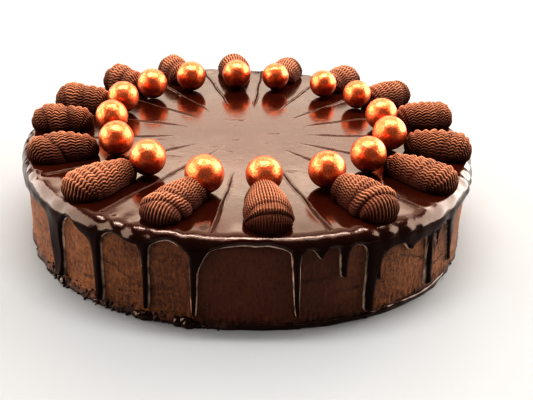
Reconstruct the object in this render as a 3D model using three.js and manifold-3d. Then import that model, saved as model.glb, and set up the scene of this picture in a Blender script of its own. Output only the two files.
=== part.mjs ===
// A sachertorte: a low round chocolate cake, 240 mm across, iced with smooth chocolate buttercream.
// A glossy ganache glaze covers the top and runs down the side in drips.
// The glaze is scored into portions, and each portion carries a piped rosette and a copper lustre ball.
// Millimetres, +Z up, origin at the middle of the underside. A bearing is in degrees, anticlockwise from
// above, from the front (-Y) towards the right (+X).
import * as THREE from "three";
import { mergeVertices } from "three/addons/utils/BufferGeometryUtils.js";
import Module from "manifold-3d";

const wasm = await Module();
wasm.setup();

// ---- Driving dimensions ----
const CAKE_RADIUS = 118.2; // buttercream side
const CAKE_HEIGHT = 43.25; // buttercream top, under the glaze
const EDGE_ROUND = 5; // rounding of the cake's top edge
const FOOT_SPREAD = 3.6; // how far the smeared foot reaches past the side
const FOOT_HEIGHT = 5.5;
// Where the hand-spread side stands out or in: bearing, how far, and over how many degrees each way.
const SIDE_UNEVEN = [[0, -1.7, 34], [45, 1.8, 30], [-44, 1.1, 30], [112, -0.7, 40], [170, 0.9, 35], [-120, 0.8, 40]];
const CLEARANCE = 0.3; // between pieces that touch
const CHORD = 0.15; // allowance for flat facets along a curve
const GLAZE = 2.3; // glaze thickness
const BEAD = 0.9; // extra thickness of a drip's middle
const SHOULDER = CAKE_HEIGHT - EDGE_ROUND; // where the side starts to round over
const INNER = CLEARANCE + CHORD; // from the buttercream to the glaze's inside
const TOP_Z = CAKE_HEIGHT + INNER + GLAZE;
const SCORE_WIDTH = 1.8;
const SCORE_DEPTH = 1.3;
const SCORE_OUTER = 116.5;
const SWIRL_WIDTH = 22.5;
const SWIRL_HEIGHT = 14.5;
const TAIL_WIDTH = 12.5;
const TAIL_HEIGHT = 9.5;
const FOLD_DEPTH = 0.15; // share of the size lost in a crease

// One line for each portion: where its swirl points, how far out it starts, its length and its folds,
// then the bearing, distance and diameter of its ball.
const PORTIONS = [
  { swirl: [5, 114, 30, 2], ball: [6, 72.5, 17.8] },
  { swirl: [31.5, 117.5, 33, 3], ball: [29.5, 75.5, 18.4] },
  { swirl: [56.5, 118.5, 35, 3], ball: [52, 75, 18.4] },
  { swirl: [77.5, 118.5, 33, 4], ball: [76.5, 76, 18.6] },
  { swirl: [101.5, 118, 33, 4], ball: [98.5, 74.5, 18.2] },
  { swirl: [124, 117.5, 30.5, 3], ball: [125, 78, 17] },
  { swirl: [145, 117, 30.5, 3], ball: [144.5, 77.5, 16.8] },
  { swirl: [166.5, 116, 30, 3], ball: [168, 76.5, 17] },
  { swirl: [186, 116.5, 30, 3], ball: [186.5, 76.5, 18] },
  { swirl: [208, 118, 30, 2], ball: [208, 78, 18.4] },
  { swirl: [229, 118, 30, 3], ball: [228, 79, 18.2] },
  { swirl: [251, 118, 31.5, 3], ball: [249, 77.5, 18.2] },
  { swirl: [269, 118, 33, 3], ball: [272, 74, 17.8] },
  { swirl: [292.5, 117.5, 34, 2], ball: [296.5, 74.5, 18] },
  { swirl: [316.5, 118, 35, 4], ball: [319.5, 74, 18] },
  { swirl: [341, 115.5, 31.5, 2], ball: [345, 77, 18.8] },
];

// Where the knife scored the glaze, and how near the middle each line starts.
const SCORES = [
  [18.5, 44], [43, 31], [66, 32], [90, 33], [112.5, 34], [135, 36], [154.5, 44], [176, 40],
  [196, 48], [215, 40], [234, 36], [256.5, 37], [278, 42], [301, 34], [326, 31], [352.5, 52],
];

// The drips that show from the front: bearing, height of the lower end, width.
const FRONT_DRIPS = [
  [-69, 24, 6], [-47, 4.6, 7.6], [-33.8, 4.6, 6.8], [-21.5, 4.8, 6.2], [-10.8, 5, 5.2], [10.7, 5.2, 4.6],
  [15.9, 36.5, 4], [21.3, 23.5, 4.4], [27.9, 4.6, 5.8], [37.8, 29.5, 3.6], [46.3, 4.6, 7.6], [51.4, 11, 2.8],
  [56.6, 6, 3.4], [68, 26, 6],
];
// The rule for the rest of the rim.
const BACK_FROM = 80;
const BACK_TO = 283;
const BACK_PITCH = 12.7;
const BACK_SEED = 11;

// The glaze's lower border between drips, as [bearing, height]. It hangs low at the sides.
const CURTAIN = [
  [-180, 37], [-120, 36], [-80, 34], [-56, 35], [-42, 41], [-26, 40], [-15, 42.6], [0, 43.2], [9, 42],
  [19, 41], [26, 38], [34, 34], [50, 33], [64, 33], [90, 36], [130, 37.5], [180, 37],
];

// ---- Small helpers ----
const radians = THREE.MathUtils.degToRad;
const { clamp, lerp, smoothstep } = THREE.MathUtils;

// A point at a bearing, a distance from the axis and a height.
function polar(bearing, distance, z) {
  const a = radians(bearing);
  return new THREE.Vector3(distance * Math.sin(a), -distance * Math.cos(a), z);
}

// A repeatable random number from 0 to 1.
function seeded(seed) {
  let state = seed;
  return () => {
    state = (state * 1664525 + 1013904223) % 4294967296;
    return state / 4294967296;
  };
}

// The angle from one bearing to another, from -180 to 180.
const turn = (from, to) => ((((to - from) % 360) + 540) % 360) - 180;

function toManifold(geometry) {
  const bare = geometry.clone();
  for (const name of ["normal", "uv"]) bare.deleteAttribute(name);
  const merged = mergeVertices(bare, 1e-4);
  const mesh = new wasm.Mesh({
    numProp: 3,
    vertProperties: new Float32Array(merged.getAttribute("position").array),
    triVerts: new Uint32Array(merged.index.array),
  });
  return new wasm.Manifold(mesh);
}

function toGeometry(manifold) {
  const mesh = manifold.getMesh();
  const geometry = new THREE.BufferGeometry();
  geometry.setAttribute("position", new THREE.BufferAttribute(mesh.vertProperties, 3));
  geometry.setIndex(new THREE.BufferAttribute(mesh.triVerts, 1));
  geometry.computeVertexNormals();
  return geometry;
}

// The same body with corners that nearly meet joined, and the triangles that this flattens left out.
function withoutSlivers(manifold, gap) {
  const merged = mergeVertices(toGeometry(manifold).deleteAttribute("normal"), gap);
  const corners = merged.index.array;
  const index = [];
  for (let i = 0; i < corners.length; i += 3) {
    const [a, b, c] = corners.slice(i, i + 3);
    if (a !== b && b !== c && c !== a) index.push(a, b, c);
  }
  return merged.setIndex(index);
}

// A closed skin over rings of equal length that go round the axis, from a lower pole to an upper one.
function skinOfRings(firstPole, rings, lastPole) {
  const count = rings[0].length;
  const points = [firstPole, ...rings.flat(), lastPole];
  const last = points.length - 1;
  const at = (ring, i) => 1 + ring * count + (i % count);
  const index = [];
  for (let i = 0; i < count; i++) {
    index.push(0, at(0, i + 1), at(0, i));
    for (let k = 0; k + 1 < rings.length; k++) {
      index.push(at(k, i), at(k, i + 1), at(k + 1, i + 1));
      index.push(at(k, i), at(k + 1, i + 1), at(k + 1, i));
    }
    index.push(last, at(rings.length - 1, i), at(rings.length - 1, i + 1));
  }
  const geometry = new THREE.BufferGeometry().setFromPoints(points);
  geometry.setIndex(index);
  geometry.computeVertexNormals();
  return geometry;
}

// ---- The cake's own outline ----
// How far the hand-spread side stands out or in at a bearing.
function uneven(bearing) {
  const swells = SIDE_UNEVEN.map(([at, amount, reach]) => {
    const near = clamp(Math.abs(turn(at, bearing)) / reach, 0, 1);
    return amount * 0.5 * (1 + Math.cos(Math.PI * near));
  });
  return swells.reduce((sum, swell) => sum + swell, 0);
}

// Half profile of the buttercream from the foot to the top, grown by an offset, as [distance, height].
function cakeProfile(grown) {
  const side = CAKE_RADIUS + grown;
  const profile = [
    [side + FOOT_SPREAD - 0.6, 0],
    [side + FOOT_SPREAD, 1],
    [side + FOOT_SPREAD * 0.45, 3],
    [side, FOOT_HEIGHT],
    [side, SHOULDER],
  ];
  const round = EDGE_ROUND + grown;
  for (const a of [30, 60, 90]) {
    const out = CAKE_RADIUS - EDGE_ROUND + round * Math.cos(radians(a));
    profile.push([out, SHOULDER + round * Math.sin(radians(a))]);
  }
  return profile;
}

function cakeSkin(grown) {
  const bearings = Array.from({ length: 72 }, (_, i) => i * 5);
  const rings = cakeProfile(grown).map(([out, z], k) =>
    bearings.map((b) => {
      const ragged = k < 3 ? 0.7 * Math.sin(radians(b) * 17) * Math.sin(radians(b) * 7 + 1) : 0;
      return polar(b, out + uneven(b) + ragged, z);
    }),
  );
  return skinOfRings(new THREE.Vector3(0, 0, 0), rings, new THREE.Vector3(0, 0, CAKE_HEIGHT + grown));
}

// ---- The glaze ----
// All drips: those listed, and a seeded row of long, middling and short ones round the back.
function allDrips() {
  const random = seeded(BACK_SEED);
  const drips = [...FRONT_DRIPS];
  for (let b = BACK_FROM; b < BACK_TO; b += BACK_PITCH) {
    const bearing = b + (random() - 0.5) * 5;
    const kind = random();
    const end = kind < 0.6 ? 4.6 + 2 * random() : 12 + 16 * random();
    drips.push([bearing, end, 4.4 + 3.2 * random()]);
  }
  return drips.map(([bearing, end, width]) => ({
    bearing,
    end,
    width,
    half: THREE.MathUtils.radToDeg(width / 2 / (CAKE_RADIUS + GLAZE)),
  }));
}

// Height of the curtain's lower border before the drips are hung on it.
function curtainHeight(bearing) {
  const b = turn(0, bearing);
  const k = CURTAIN.findIndex(([at], i) => i > 0 && b <= at);
  const [from, to] = [CURTAIN[k - 1], CURTAIN[k]];
  return lerp(from[1], to[1], smoothstep(b, from[0], to[0]));
}

// How far a drip's root spreads into the border beside it: u is the distance in half widths.
const flare = (u) => 0.22 * Math.pow(clamp(1 - (u - 1) / 1.8, 0, 1), 2);

// The glaze's lower border at a bearing, and how much it bulges there.
function border(bearing, drips) {
  const top = curtainHeight(bearing);
  let z = top;
  let bulge = 0;
  for (const drip of drips) {
    const u = Math.abs(turn(drip.bearing, bearing)) / drip.half;
    const drop = Math.max(top - drip.end, 3);
    if (u < 1) z = Math.min(z, top - drop + (drip.width / 2) * (1 - Math.sqrt(1 - u * u)));
    z = Math.min(z, top - Math.min(drop, 18) * flare(u));
    bulge = Math.max(bulge, BEAD * clamp(1 - u * u, 0, 1));
  }
  return { z, bulge };
}

// Columns stand close together across each drip and wide apart elsewhere.
function glazeBearings(drips) {
  const close = [-1.9, -1.04, -0.8, 0, 0.8, 1.04, 1.9];
  const wanted = drips.flatMap(({ bearing, half }) => close.map((u) => bearing + u * half));
  for (let b = 0; b < 360; b += 5) wanted.push(b);
  const sorted = wanted.map((b) => ((b % 360) + 360) % 360).sort((a, b) => a - b);
  return sorted.filter((b, i) => i === 0 || b - sorted[i - 1] > 0.3);
}

// How far round the top edge the glaze's outer face is at a height: 0 on the side, a right angle on top.
function edgeAngle(height) {
  return Math.asin(clamp((height - SHOULDER) / (EDGE_ROUND + INNER + GLAZE), 0, 0.95));
}

// A point beside the cake's rounded edge, and one beside its whole profile at a height of the glaze's face.
function onEdge(angle, offset, bearing, base = SHOULDER) {
  const round = EDGE_ROUND + offset;
  const out = CAKE_RADIUS - EDGE_ROUND + round * Math.cos(angle);
  return polar(bearing, out + uneven(bearing), base + round * Math.sin(angle));
}

function onProfile(height, offset, bearing) {
  return onEdge(edgeAngle(height), offset, bearing, Math.min(height, SHOULDER));
}

// One column of the glaze's outer skin: from inside the cake, round the lip and up to the top.
function glazeColumn(bearing, drips) {
  const { z, bulge } = border(bearing, drips);
  const up = Math.PI / 2;
  const high = edgeAngle(z + 1.8);
  const full = INNER + GLAZE;
  return [
    onProfile(z, -1.5, bearing),
    onProfile(z, INNER + 0.5, bearing),
    onProfile(z + 0.2, INNER + 0.8 * GLAZE + 0.6 * bulge, bearing),
    onProfile(z + 1.8, full + bulge, bearing),
    onEdge(lerp(high, up, 0.1), full + 0.5 * bulge, bearing),
    onEdge(lerp(high, up, 0.45), full, bearing),
    onEdge(lerp(high, up, 0.75), full, bearing),
    onEdge(up, full, bearing),
  ];
}

// The glaze is a coat over the cake, hollowed by the cake's own shape grown by the gap.
function glaze() {
  const drips = allDrips();
  const columns = glazeBearings(drips).map((b) => glazeColumn(b, drips));
  const rings = columns[0].map((_, k) => columns.map((column) => column[k]));
  const middle = new THREE.Vector3(0, 0, SHOULDER / 2);
  const coat = toManifold(skinOfRings(middle, rings, new THREE.Vector3(0, 0, TOP_Z)));
  const hollow = toManifold(cakeSkin(INNER));
  const shell = coat.subtract(hollow);
  const scored = SCORES.reduce((body, score) => body.subtract(scoreCut(...score)), shell);
  return withoutSlivers(scored, 0.02);
}

// The V-shaped bar that a knife's score takes out of the glaze.
function scoreCut(bearing, from) {
  const lip = 0.5;
  const outline = new THREE.Shape([
    new THREE.Vector2(-SCORE_WIDTH / 2, lip),
    new THREE.Vector2(0, -SCORE_DEPTH),
    new THREE.Vector2(SCORE_WIDTH / 2, lip),
  ]);
  const bar = new THREE.ExtrudeGeometry(outline, { depth: SCORE_OUTER - from, bevelEnabled: false });
  bar.rotateX(Math.PI / 2);
  bar.translate(0, -from, TOP_Z);
  bar.rotateZ(radians(bearing));
  return toManifold(bar);
}

// ---- Piped swirls ----
// Width and height of a swirl at a share s of its length, from the blunt outer end to the tail.
function swirlSize(s, folds) {
  const taper = smoothstep(s, 0.25, 1);
  const fold = 1 - FOLD_DEPTH * Math.pow(Math.abs(Math.cos(Math.PI * (s * folds + 0.15))), 6);
  const open = 0.88 + 0.12 * smoothstep(s, 0, 0.3);
  return {
    half: (lerp(SWIRL_WIDTH, TAIL_WIDTH, taper) / 2) * fold * open,
    height: lerp(SWIRL_HEIGHT, TAIL_HEIGHT, taper) * fold,
  };
}

// A swirl lies along -Y with its base at z 0, its tail at the origin and its blunt end at -length.
// Half-round sections fan up from the base at the blunt end, run along to the tail, and fan down again.
function swirlGeometry(length, folds) {
  const around = 8;
  const sections = [];
  const start = SWIRL_HEIGHT * 0.72;
  const stop = TAIL_HEIGHT * 0.6;
  const run = length - start - stop;
  const section = (pivot, size, lean, reach) => {
    const row = [];
    for (let i = 1; i < around; i++) {
      const a = (Math.PI * i) / around;
      const up = Math.sin(a);
      const y = pivot - up * reach * Math.cos(lean);
      row.push(new THREE.Vector3(size.half * Math.cos(a), y, up * size.height * Math.sin(lean)));
    }
    return row;
  };
  const ends = [];
  for (const lean of [0, 24, 50]) {
    sections.push(section(-length + start, swirlSize(0, folds), radians(lean), start));
    ends.push({ pivot: -length + start, half: swirlSize(0, folds).half });
  }
  const steps = folds * 3;
  for (let k = 0; k <= steps; k++) {
    const s = k / steps;
    const pivot = -length + start + run * s;
    sections.push(section(pivot, swirlSize(s, folds), radians(90), 0));
    ends.push({ pivot, half: swirlSize(s, folds).half });
  }
  for (const lean of [45, 0]) {
    sections.push(section(-stop, swirlSize(1, folds), radians(lean), -stop));
    ends.push({ pivot: -stop, half: swirlSize(1, folds).half });
  }
  return closeSwirl(sections, ends);
}

// Joins the sections of a swirl to its two base edges, and closes the flat base.
function closeSwirl(sections, ends) {
  const points = [];
  const index = [];
  const keep = (v) => points.push(v) - 1;
  const rows = sections.map((row, k) => {
    const { pivot, half } = ends[k];
    const right = keep(new THREE.Vector3(half, pivot, 0));
    const middle = row.map(keep);
    return [right, ...middle, keep(new THREE.Vector3(-half, pivot, 0))];
  });
  const across = rows[0].length;
  for (let k = 0; k + 1 < rows.length; k++) {
    const [a, b] = [rows[k], rows[k + 1]];
    for (let i = 0; i + 1 < across; i++) {
      index.push(a[i], b[i], b[i + 1], a[i], b[i + 1], a[i + 1]);
    }
    index.push(a[0], a[across - 1], b[across - 1], a[0], b[across - 1], b[0]);
  }
  const [first, last] = [rows[0], rows[rows.length - 1]];
  for (let i = 1; i + 1 < across; i++) {
    index.push(first[0], first[i], first[i + 1]);
    index.push(last[0], last[i + 1], last[i]);
  }
  const geometry = new THREE.BufferGeometry().setFromPoints(points);
  geometry.setIndex(index);
  return toGeometry(toManifold(geometry));
}

// ---- Assembly ----
const BUTTERCREAM = new THREE.MeshStandardMaterial({ color: 0x5a3420, roughness: 0.75, metalness: 0 });
const GANACHE = new THREE.MeshStandardMaterial({ color: 0x2b110a, roughness: 0.12, metalness: 0 });
const PIPED = new THREE.MeshStandardMaterial({ color: 0x4f2b1b, roughness: 0.7, metalness: 0 });
const COPPER = new THREE.MeshStandardMaterial({ color: 0xc8602a, roughness: 0.3, metalness: 0.9 });

function piece(name, geometry, material) {
  const mesh = new THREE.Mesh(geometry, material);
  mesh.name = name;
  return mesh;
}

function portion({ swirl, ball }, number) {
  const group = new THREE.Group();
  const label = String(number + 1).padStart(2, "0");
  const [bearing, outer, length, folds] = swirl;
  const rosette = piece("swirl_" + label, swirlGeometry(length, folds), PIPED);
  rosette.position.copy(polar(bearing, outer - length, TOP_Z + CLEARANCE));
  rosette.rotation.z = radians(bearing);
  const [ballBearing, distance, diameter] = ball;
  const lustre = piece("ball_" + label, new THREE.IcosahedronGeometry(diameter / 2, 2), COPPER);
  lustre.position.copy(polar(ballBearing, distance, TOP_Z + CLEARANCE + diameter / 2));
  group.add(rosette, lustre);
  return group;
}

const cake = new THREE.Group();
cake.add(piece("cake_body", cakeSkin(0), BUTTERCREAM));
cake.add(piece("glaze", glaze(), GANACHE));
PORTIONS.forEach((place, number) => cake.add(portion(place, number)));

export default cake;
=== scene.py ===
"""A chocolate drip torte: a low round cake in smooth buttercream under a glossy scored glaze.

Piped ribbed swirls and copper lustre balls ring the top. Lengths inside the shape classes are in
millimetres and become metres when a mesh is made. A bearing is in degrees, anticlockwise from above, from
the front (-Y) towards the right (+X). A way is a length from the floor up the side and across the top.
"""

from __future__ import annotations

import logging
import math
from dataclasses import dataclass, field
from enum import Enum

import bmesh
import bpy
import numpy as np
from bpy.types import Material, Node, NodeSocket, NodeTree, Object
from mathutils import Matrix, Vector, kdtree
from numpy import ndarray

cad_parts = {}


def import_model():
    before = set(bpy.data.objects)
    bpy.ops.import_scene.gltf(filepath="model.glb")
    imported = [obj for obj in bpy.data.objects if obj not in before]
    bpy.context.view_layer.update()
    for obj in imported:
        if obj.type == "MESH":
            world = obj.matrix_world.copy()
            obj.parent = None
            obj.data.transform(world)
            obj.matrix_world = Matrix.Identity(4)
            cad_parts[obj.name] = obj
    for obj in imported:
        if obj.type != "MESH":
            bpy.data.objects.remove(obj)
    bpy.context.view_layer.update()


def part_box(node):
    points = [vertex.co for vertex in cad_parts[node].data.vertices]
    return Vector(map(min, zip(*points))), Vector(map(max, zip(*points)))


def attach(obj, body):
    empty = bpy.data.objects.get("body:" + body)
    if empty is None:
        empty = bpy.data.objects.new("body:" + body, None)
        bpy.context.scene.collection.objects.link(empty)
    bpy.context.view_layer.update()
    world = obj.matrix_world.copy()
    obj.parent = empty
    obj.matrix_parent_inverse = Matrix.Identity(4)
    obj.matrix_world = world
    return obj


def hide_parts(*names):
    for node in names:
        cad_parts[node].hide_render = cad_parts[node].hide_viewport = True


LOG = logging.getLogger("torte")
MM = 0.001
DEGREE = math.radians(1)
BODY = "root"
NO_QUADS = np.zeros((0, 4), int)
NO_TRIANGLES = np.zeros((0, 3), int)


class Slot(Enum):
    """The record's material slots."""

    BUTTERCREAM = "buttercream"
    GANACHE = "ganache"
    PIPED = "piped_cream"
    LUSTRE = "lustre"


# ------------------------ numbers and meshes


def turn(start: ndarray | float, end: ndarray | float) -> ndarray | float:
    """Gives the turn from one bearing to another, from -180 to 180 degrees."""
    return (end - start + 180.0) % 360.0 - 180.0


def smoothstep(x: ndarray, low: float, high: float) -> ndarray:
    """Rises smoothly from 0 where x is low to 1 where it is high."""
    t = np.clip((x - low) / (high - low), 0.0, 1.0)
    return t * t * (3.0 - 2.0 * t)


def smooth_line(stops: list[tuple[float, float]], x: ndarray) -> ndarray:
    """Reads a smooth line through points, which never swings past them.

    Args:
        stops: the points' places in rising order, and their heights.
        x: where the line is read.

    Returns:
        The line's height at each x.
    """
    at, height = np.array(stops, float).T
    step = np.diff(at)
    rise = np.diff(height) / step
    slope = np.zeros(len(at))
    before, after = rise[:-1], rise[1:]
    w1, w2 = 2 * step[1:] + step[:-1], step[1:] + 2 * step[:-1]
    same = before * after > 0
    slope[1:-1][same] = (w1 + w2)[same] / (w1[same] / before[same] + w2[same] / after[same])
    k = np.clip(np.searchsorted(at, x, side="right") - 1, 0, len(at) - 2)
    t = (x - at[k]) / step[k]
    left = (1 + 2 * t) * (1 - t) ** 2 * height[k] + t * (1 - t) ** 2 * step[k] * slope[k]
    return left + t * t * (3 - 2 * t) * height[k + 1] + t * t * (t - 1) * step[k] * slope[k + 1]


@dataclass(frozen=True)
class Ripples:
    """A smooth uneven field of seeded waves, which moves a surface by about its amount.

    Around is the highest wave number round the cake. Across is the highest along a second coordinate,
    which is divided by stretch first.
    """

    amount: float
    seed: int
    terms: int
    around: int
    across: float = 0.0
    stretch: float = 1.0

    def at(self, bearing: ndarray, second: ndarray | float = 0.0) -> ndarray:
        """Sums the waves.

        Args:
            bearing: in degrees, round which the field closes on itself.
            second: the second coordinate.

        Returns:
            The field at each point.
        """
        random = np.random.default_rng(self.seed)
        a, b = np.radians(bearing), second / self.stretch
        total = np.zeros(np.broadcast(a, b).shape)
        for _ in range(self.terms):
            k = random.integers(-self.around, self.around + 1)
            m = random.uniform(-self.across, self.across)
            strength = random.uniform(0.4, 1.0)
            total = total + strength * np.sin(k * a + m * b + random.uniform(0, 2 * math.pi))
        return self.amount * total / math.sqrt(self.terms) / 0.75


def polar(bearing: ndarray, distance: ndarray, z: ndarray) -> ndarray:
    """Places points by bearing, distance from the axis and height, as x, y and z in the last axis."""
    a = np.radians(bearing)
    return np.stack(np.broadcast_arrays(distance * np.sin(a), -distance * np.cos(a), z), axis=-1)


def quads_of_grid(rows: int, columns: int, closed: bool) -> ndarray:
    """Lists the quads of a grid of points stored row by row.

    Args:
        rows: how many rows of points.
        columns: how many points in a row.
        closed: whether the last column joins the first.

    Returns:
        An array of four point numbers a quad.
    """
    row = np.arange(rows - 1)[:, None] * columns
    column = np.arange(columns if closed else columns - 1)[None, :]
    after = (column + 1) % columns
    corners = (row + column, row + after, row + columns + after, row + columns + column)
    return np.stack(corners, axis=-1).reshape(-1, 4)


def mesh_piece(
    name: str, points: ndarray, quads: ndarray = NO_QUADS, triangles: ndarray = NO_TRIANGLES
) -> Object:
    """Makes a smooth-shaded mesh object at the origin.

    Args:
        name: the piece's name.
        points: its points, in millimetres.
        quads: four point numbers a face.
        triangles: three point numbers a face.

    Returns:
        The object, linked into the scene.
    """
    mesh = bpy.data.meshes.new(name)
    mesh.vertices.add(len(points))
    mesh.vertices.foreach_set("co", (points * MM).astype(np.float32).ravel())
    corners = np.concatenate([quads.ravel(), triangles.ravel()]).astype(np.int32)
    mesh.loops.add(len(corners))
    mesh.loops.foreach_set("vertex_index", corners)
    starts = np.concatenate([np.arange(len(quads)) * 4, quads.size + np.arange(len(triangles)) * 3])
    mesh.polygons.add(len(starts))
    mesh.polygons.foreach_set("loop_start", starts.astype(np.int32))
    mesh.update(calc_edges=True)
    mesh.validate()
    mesh.shade_smooth()
    piece = bpy.data.objects.new(name, mesh)
    bpy.context.collection.objects.link(piece)
    return piece


def closed_rings(name: str, rings: ndarray, first: tuple | ndarray, last: tuple | ndarray) -> Object:
    """Skins rings that go round the axis and closes both ends with a fan.

    Args:
        name: the piece's name.
        rings: points as rings by columns by three, from the underside to the top.
        first: the point that closes the first ring.
        last: the point that closes the last ring.

    Returns:
        The object.
    """
    rows, columns = rings.shape[:2]
    points = np.concatenate([rings.reshape(-1, 3), [first, last]])
    here = np.arange(columns)
    after = (here + 1) % columns
    low = np.stack([np.full(columns, rows * columns), after, here], axis=-1)
    top = (rows - 1) * columns
    high = np.stack([np.full(columns, rows * columns + 1), top + here, top + after], axis=-1)
    return mesh_piece(name, points, quads_of_grid(rows, columns, True), np.concatenate([low, high]))


def close_up(piece: Object) -> None:
    """Welds a mesh's doubled points, closes its open rims and points its faces outwards.

    Args:
        piece: the mesh object.
    """
    shape = bmesh.new()
    shape.from_mesh(piece.data)
    bmesh.ops.remove_doubles(shape, verts=shape.verts, dist=1e-6)
    rim = [edge for edge in shape.edges if edge.is_boundary]
    if rim:
        bmesh.ops.holes_fill(shape, edges=rim, sides=0)
    bmesh.ops.recalc_face_normals(shape, faces=shape.faces)
    shape.to_mesh(piece.data)
    shape.free()
    piece.data.shade_smooth()


def store(piece: Object, name: str, values: ndarray, kind: str = "FLOAT") -> None:
    """Keeps a number, or three where the kind is FLOAT_VECTOR, for each point of a mesh."""
    layer = piece.data.attributes.new(name, kind, "POINT")
    layer.data.foreach_set("value" if kind == "FLOAT" else "vector", values.astype(np.float32).ravel())


def grow(piece: Object, tree: NodeTree, settings: dict[str, object]) -> Object:
    """Runs a Geometry Nodes tree on a piece and keeps the result as a plain mesh.

    Args:
        piece: the object, linked into the scene.
        tree: the tree.
        settings: what goes into the tree's named inputs.

    Returns:
        The same object with its new mesh.
    """
    modifier = piece.modifiers.new(tree.name, "NODES")
    modifier.node_group = tree
    for item in tree.interface.items_tree:
        if item.name in settings:
            modifier[item.identifier] = settings[item.name]
    evaluated = piece.evaluated_get(bpy.context.evaluated_depsgraph_get())
    mesh = bpy.data.meshes.new_from_object(evaluated)
    piece.modifiers.clear()
    old = piece.data
    piece.data = mesh
    bpy.data.meshes.remove(old)
    mesh.name = piece.name
    mesh.shade_smooth()
    return piece


def hand_over(piece: Object, slot: Slot, *nodes: str) -> None:
    """Ties a finished piece to the frame and reports it.

    Args:
        piece: the finished mesh.
        slot: the material slot that it stands in; not used.
        nodes: the nodes that it stands for.
    """
    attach(piece, BODY)
    if nodes:
        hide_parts(*nodes)
    stands_for = ", ".join(nodes) or "nothing"
    LOG.info("%s: %d faces, stands for %s", piece.name, len(piece.data.polygons), stands_for)


# ------------------------ nodes


@dataclass(frozen=True)
class Noise:
    """A noise: its scale in waves a metre, its octaves, and how strong the finer ones are."""

    scale: float
    detail: float = 3.0
    roughness: float = 0.55


class Value:
    """A node's output. Arithmetic on it adds nodes to its sheet."""

    def __init__(self, sheet: NodeSheet, socket: NodeSocket) -> None:
        """Keeps the output and its sheet."""
        self.sheet, self.socket = sheet, socket

    def __add__(self, other: object) -> Value:
        """Adds to it."""
        return self.sheet.math("ADD", self, other)

    def __sub__(self, other: object) -> Value:
        """Takes from it."""
        return self.sheet.math("SUBTRACT", self, other)

    def __rsub__(self, other: object) -> Value:
        """Takes it from a number."""
        return self.sheet.math("SUBTRACT", other, self)

    def __mul__(self, other: object) -> Value:
        """Multiplies it."""
        return self.sheet.math("MULTIPLY", self, other)

    def __truediv__(self, other: object) -> Value:
        """Divides it."""
        return self.sheet.math("DIVIDE", self, other)

    def __pow__(self, other: object) -> Value:
        """Raises it to a power."""
        return self.sheet.math("POWER", self, other)

    def __abs__(self) -> Value:
        """Drops its sign."""
        return self.sheet.math("ABSOLUTE", self)

    def span(self, low: float, high: float, start: float = 0.0, end: float = 1.0) -> Value:
        """Maps it from low and high to start and end, and clamps it there."""
        return self.sheet.read("ShaderNodeMapRange", dict(enumerate((self, low, high, start, end))))

    def arch(self) -> Value:
        """Gives a row of arches from 0 to 1, one for each whole number of it."""
        return abs(self.sheet.math("SINE", self * math.pi))


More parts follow.
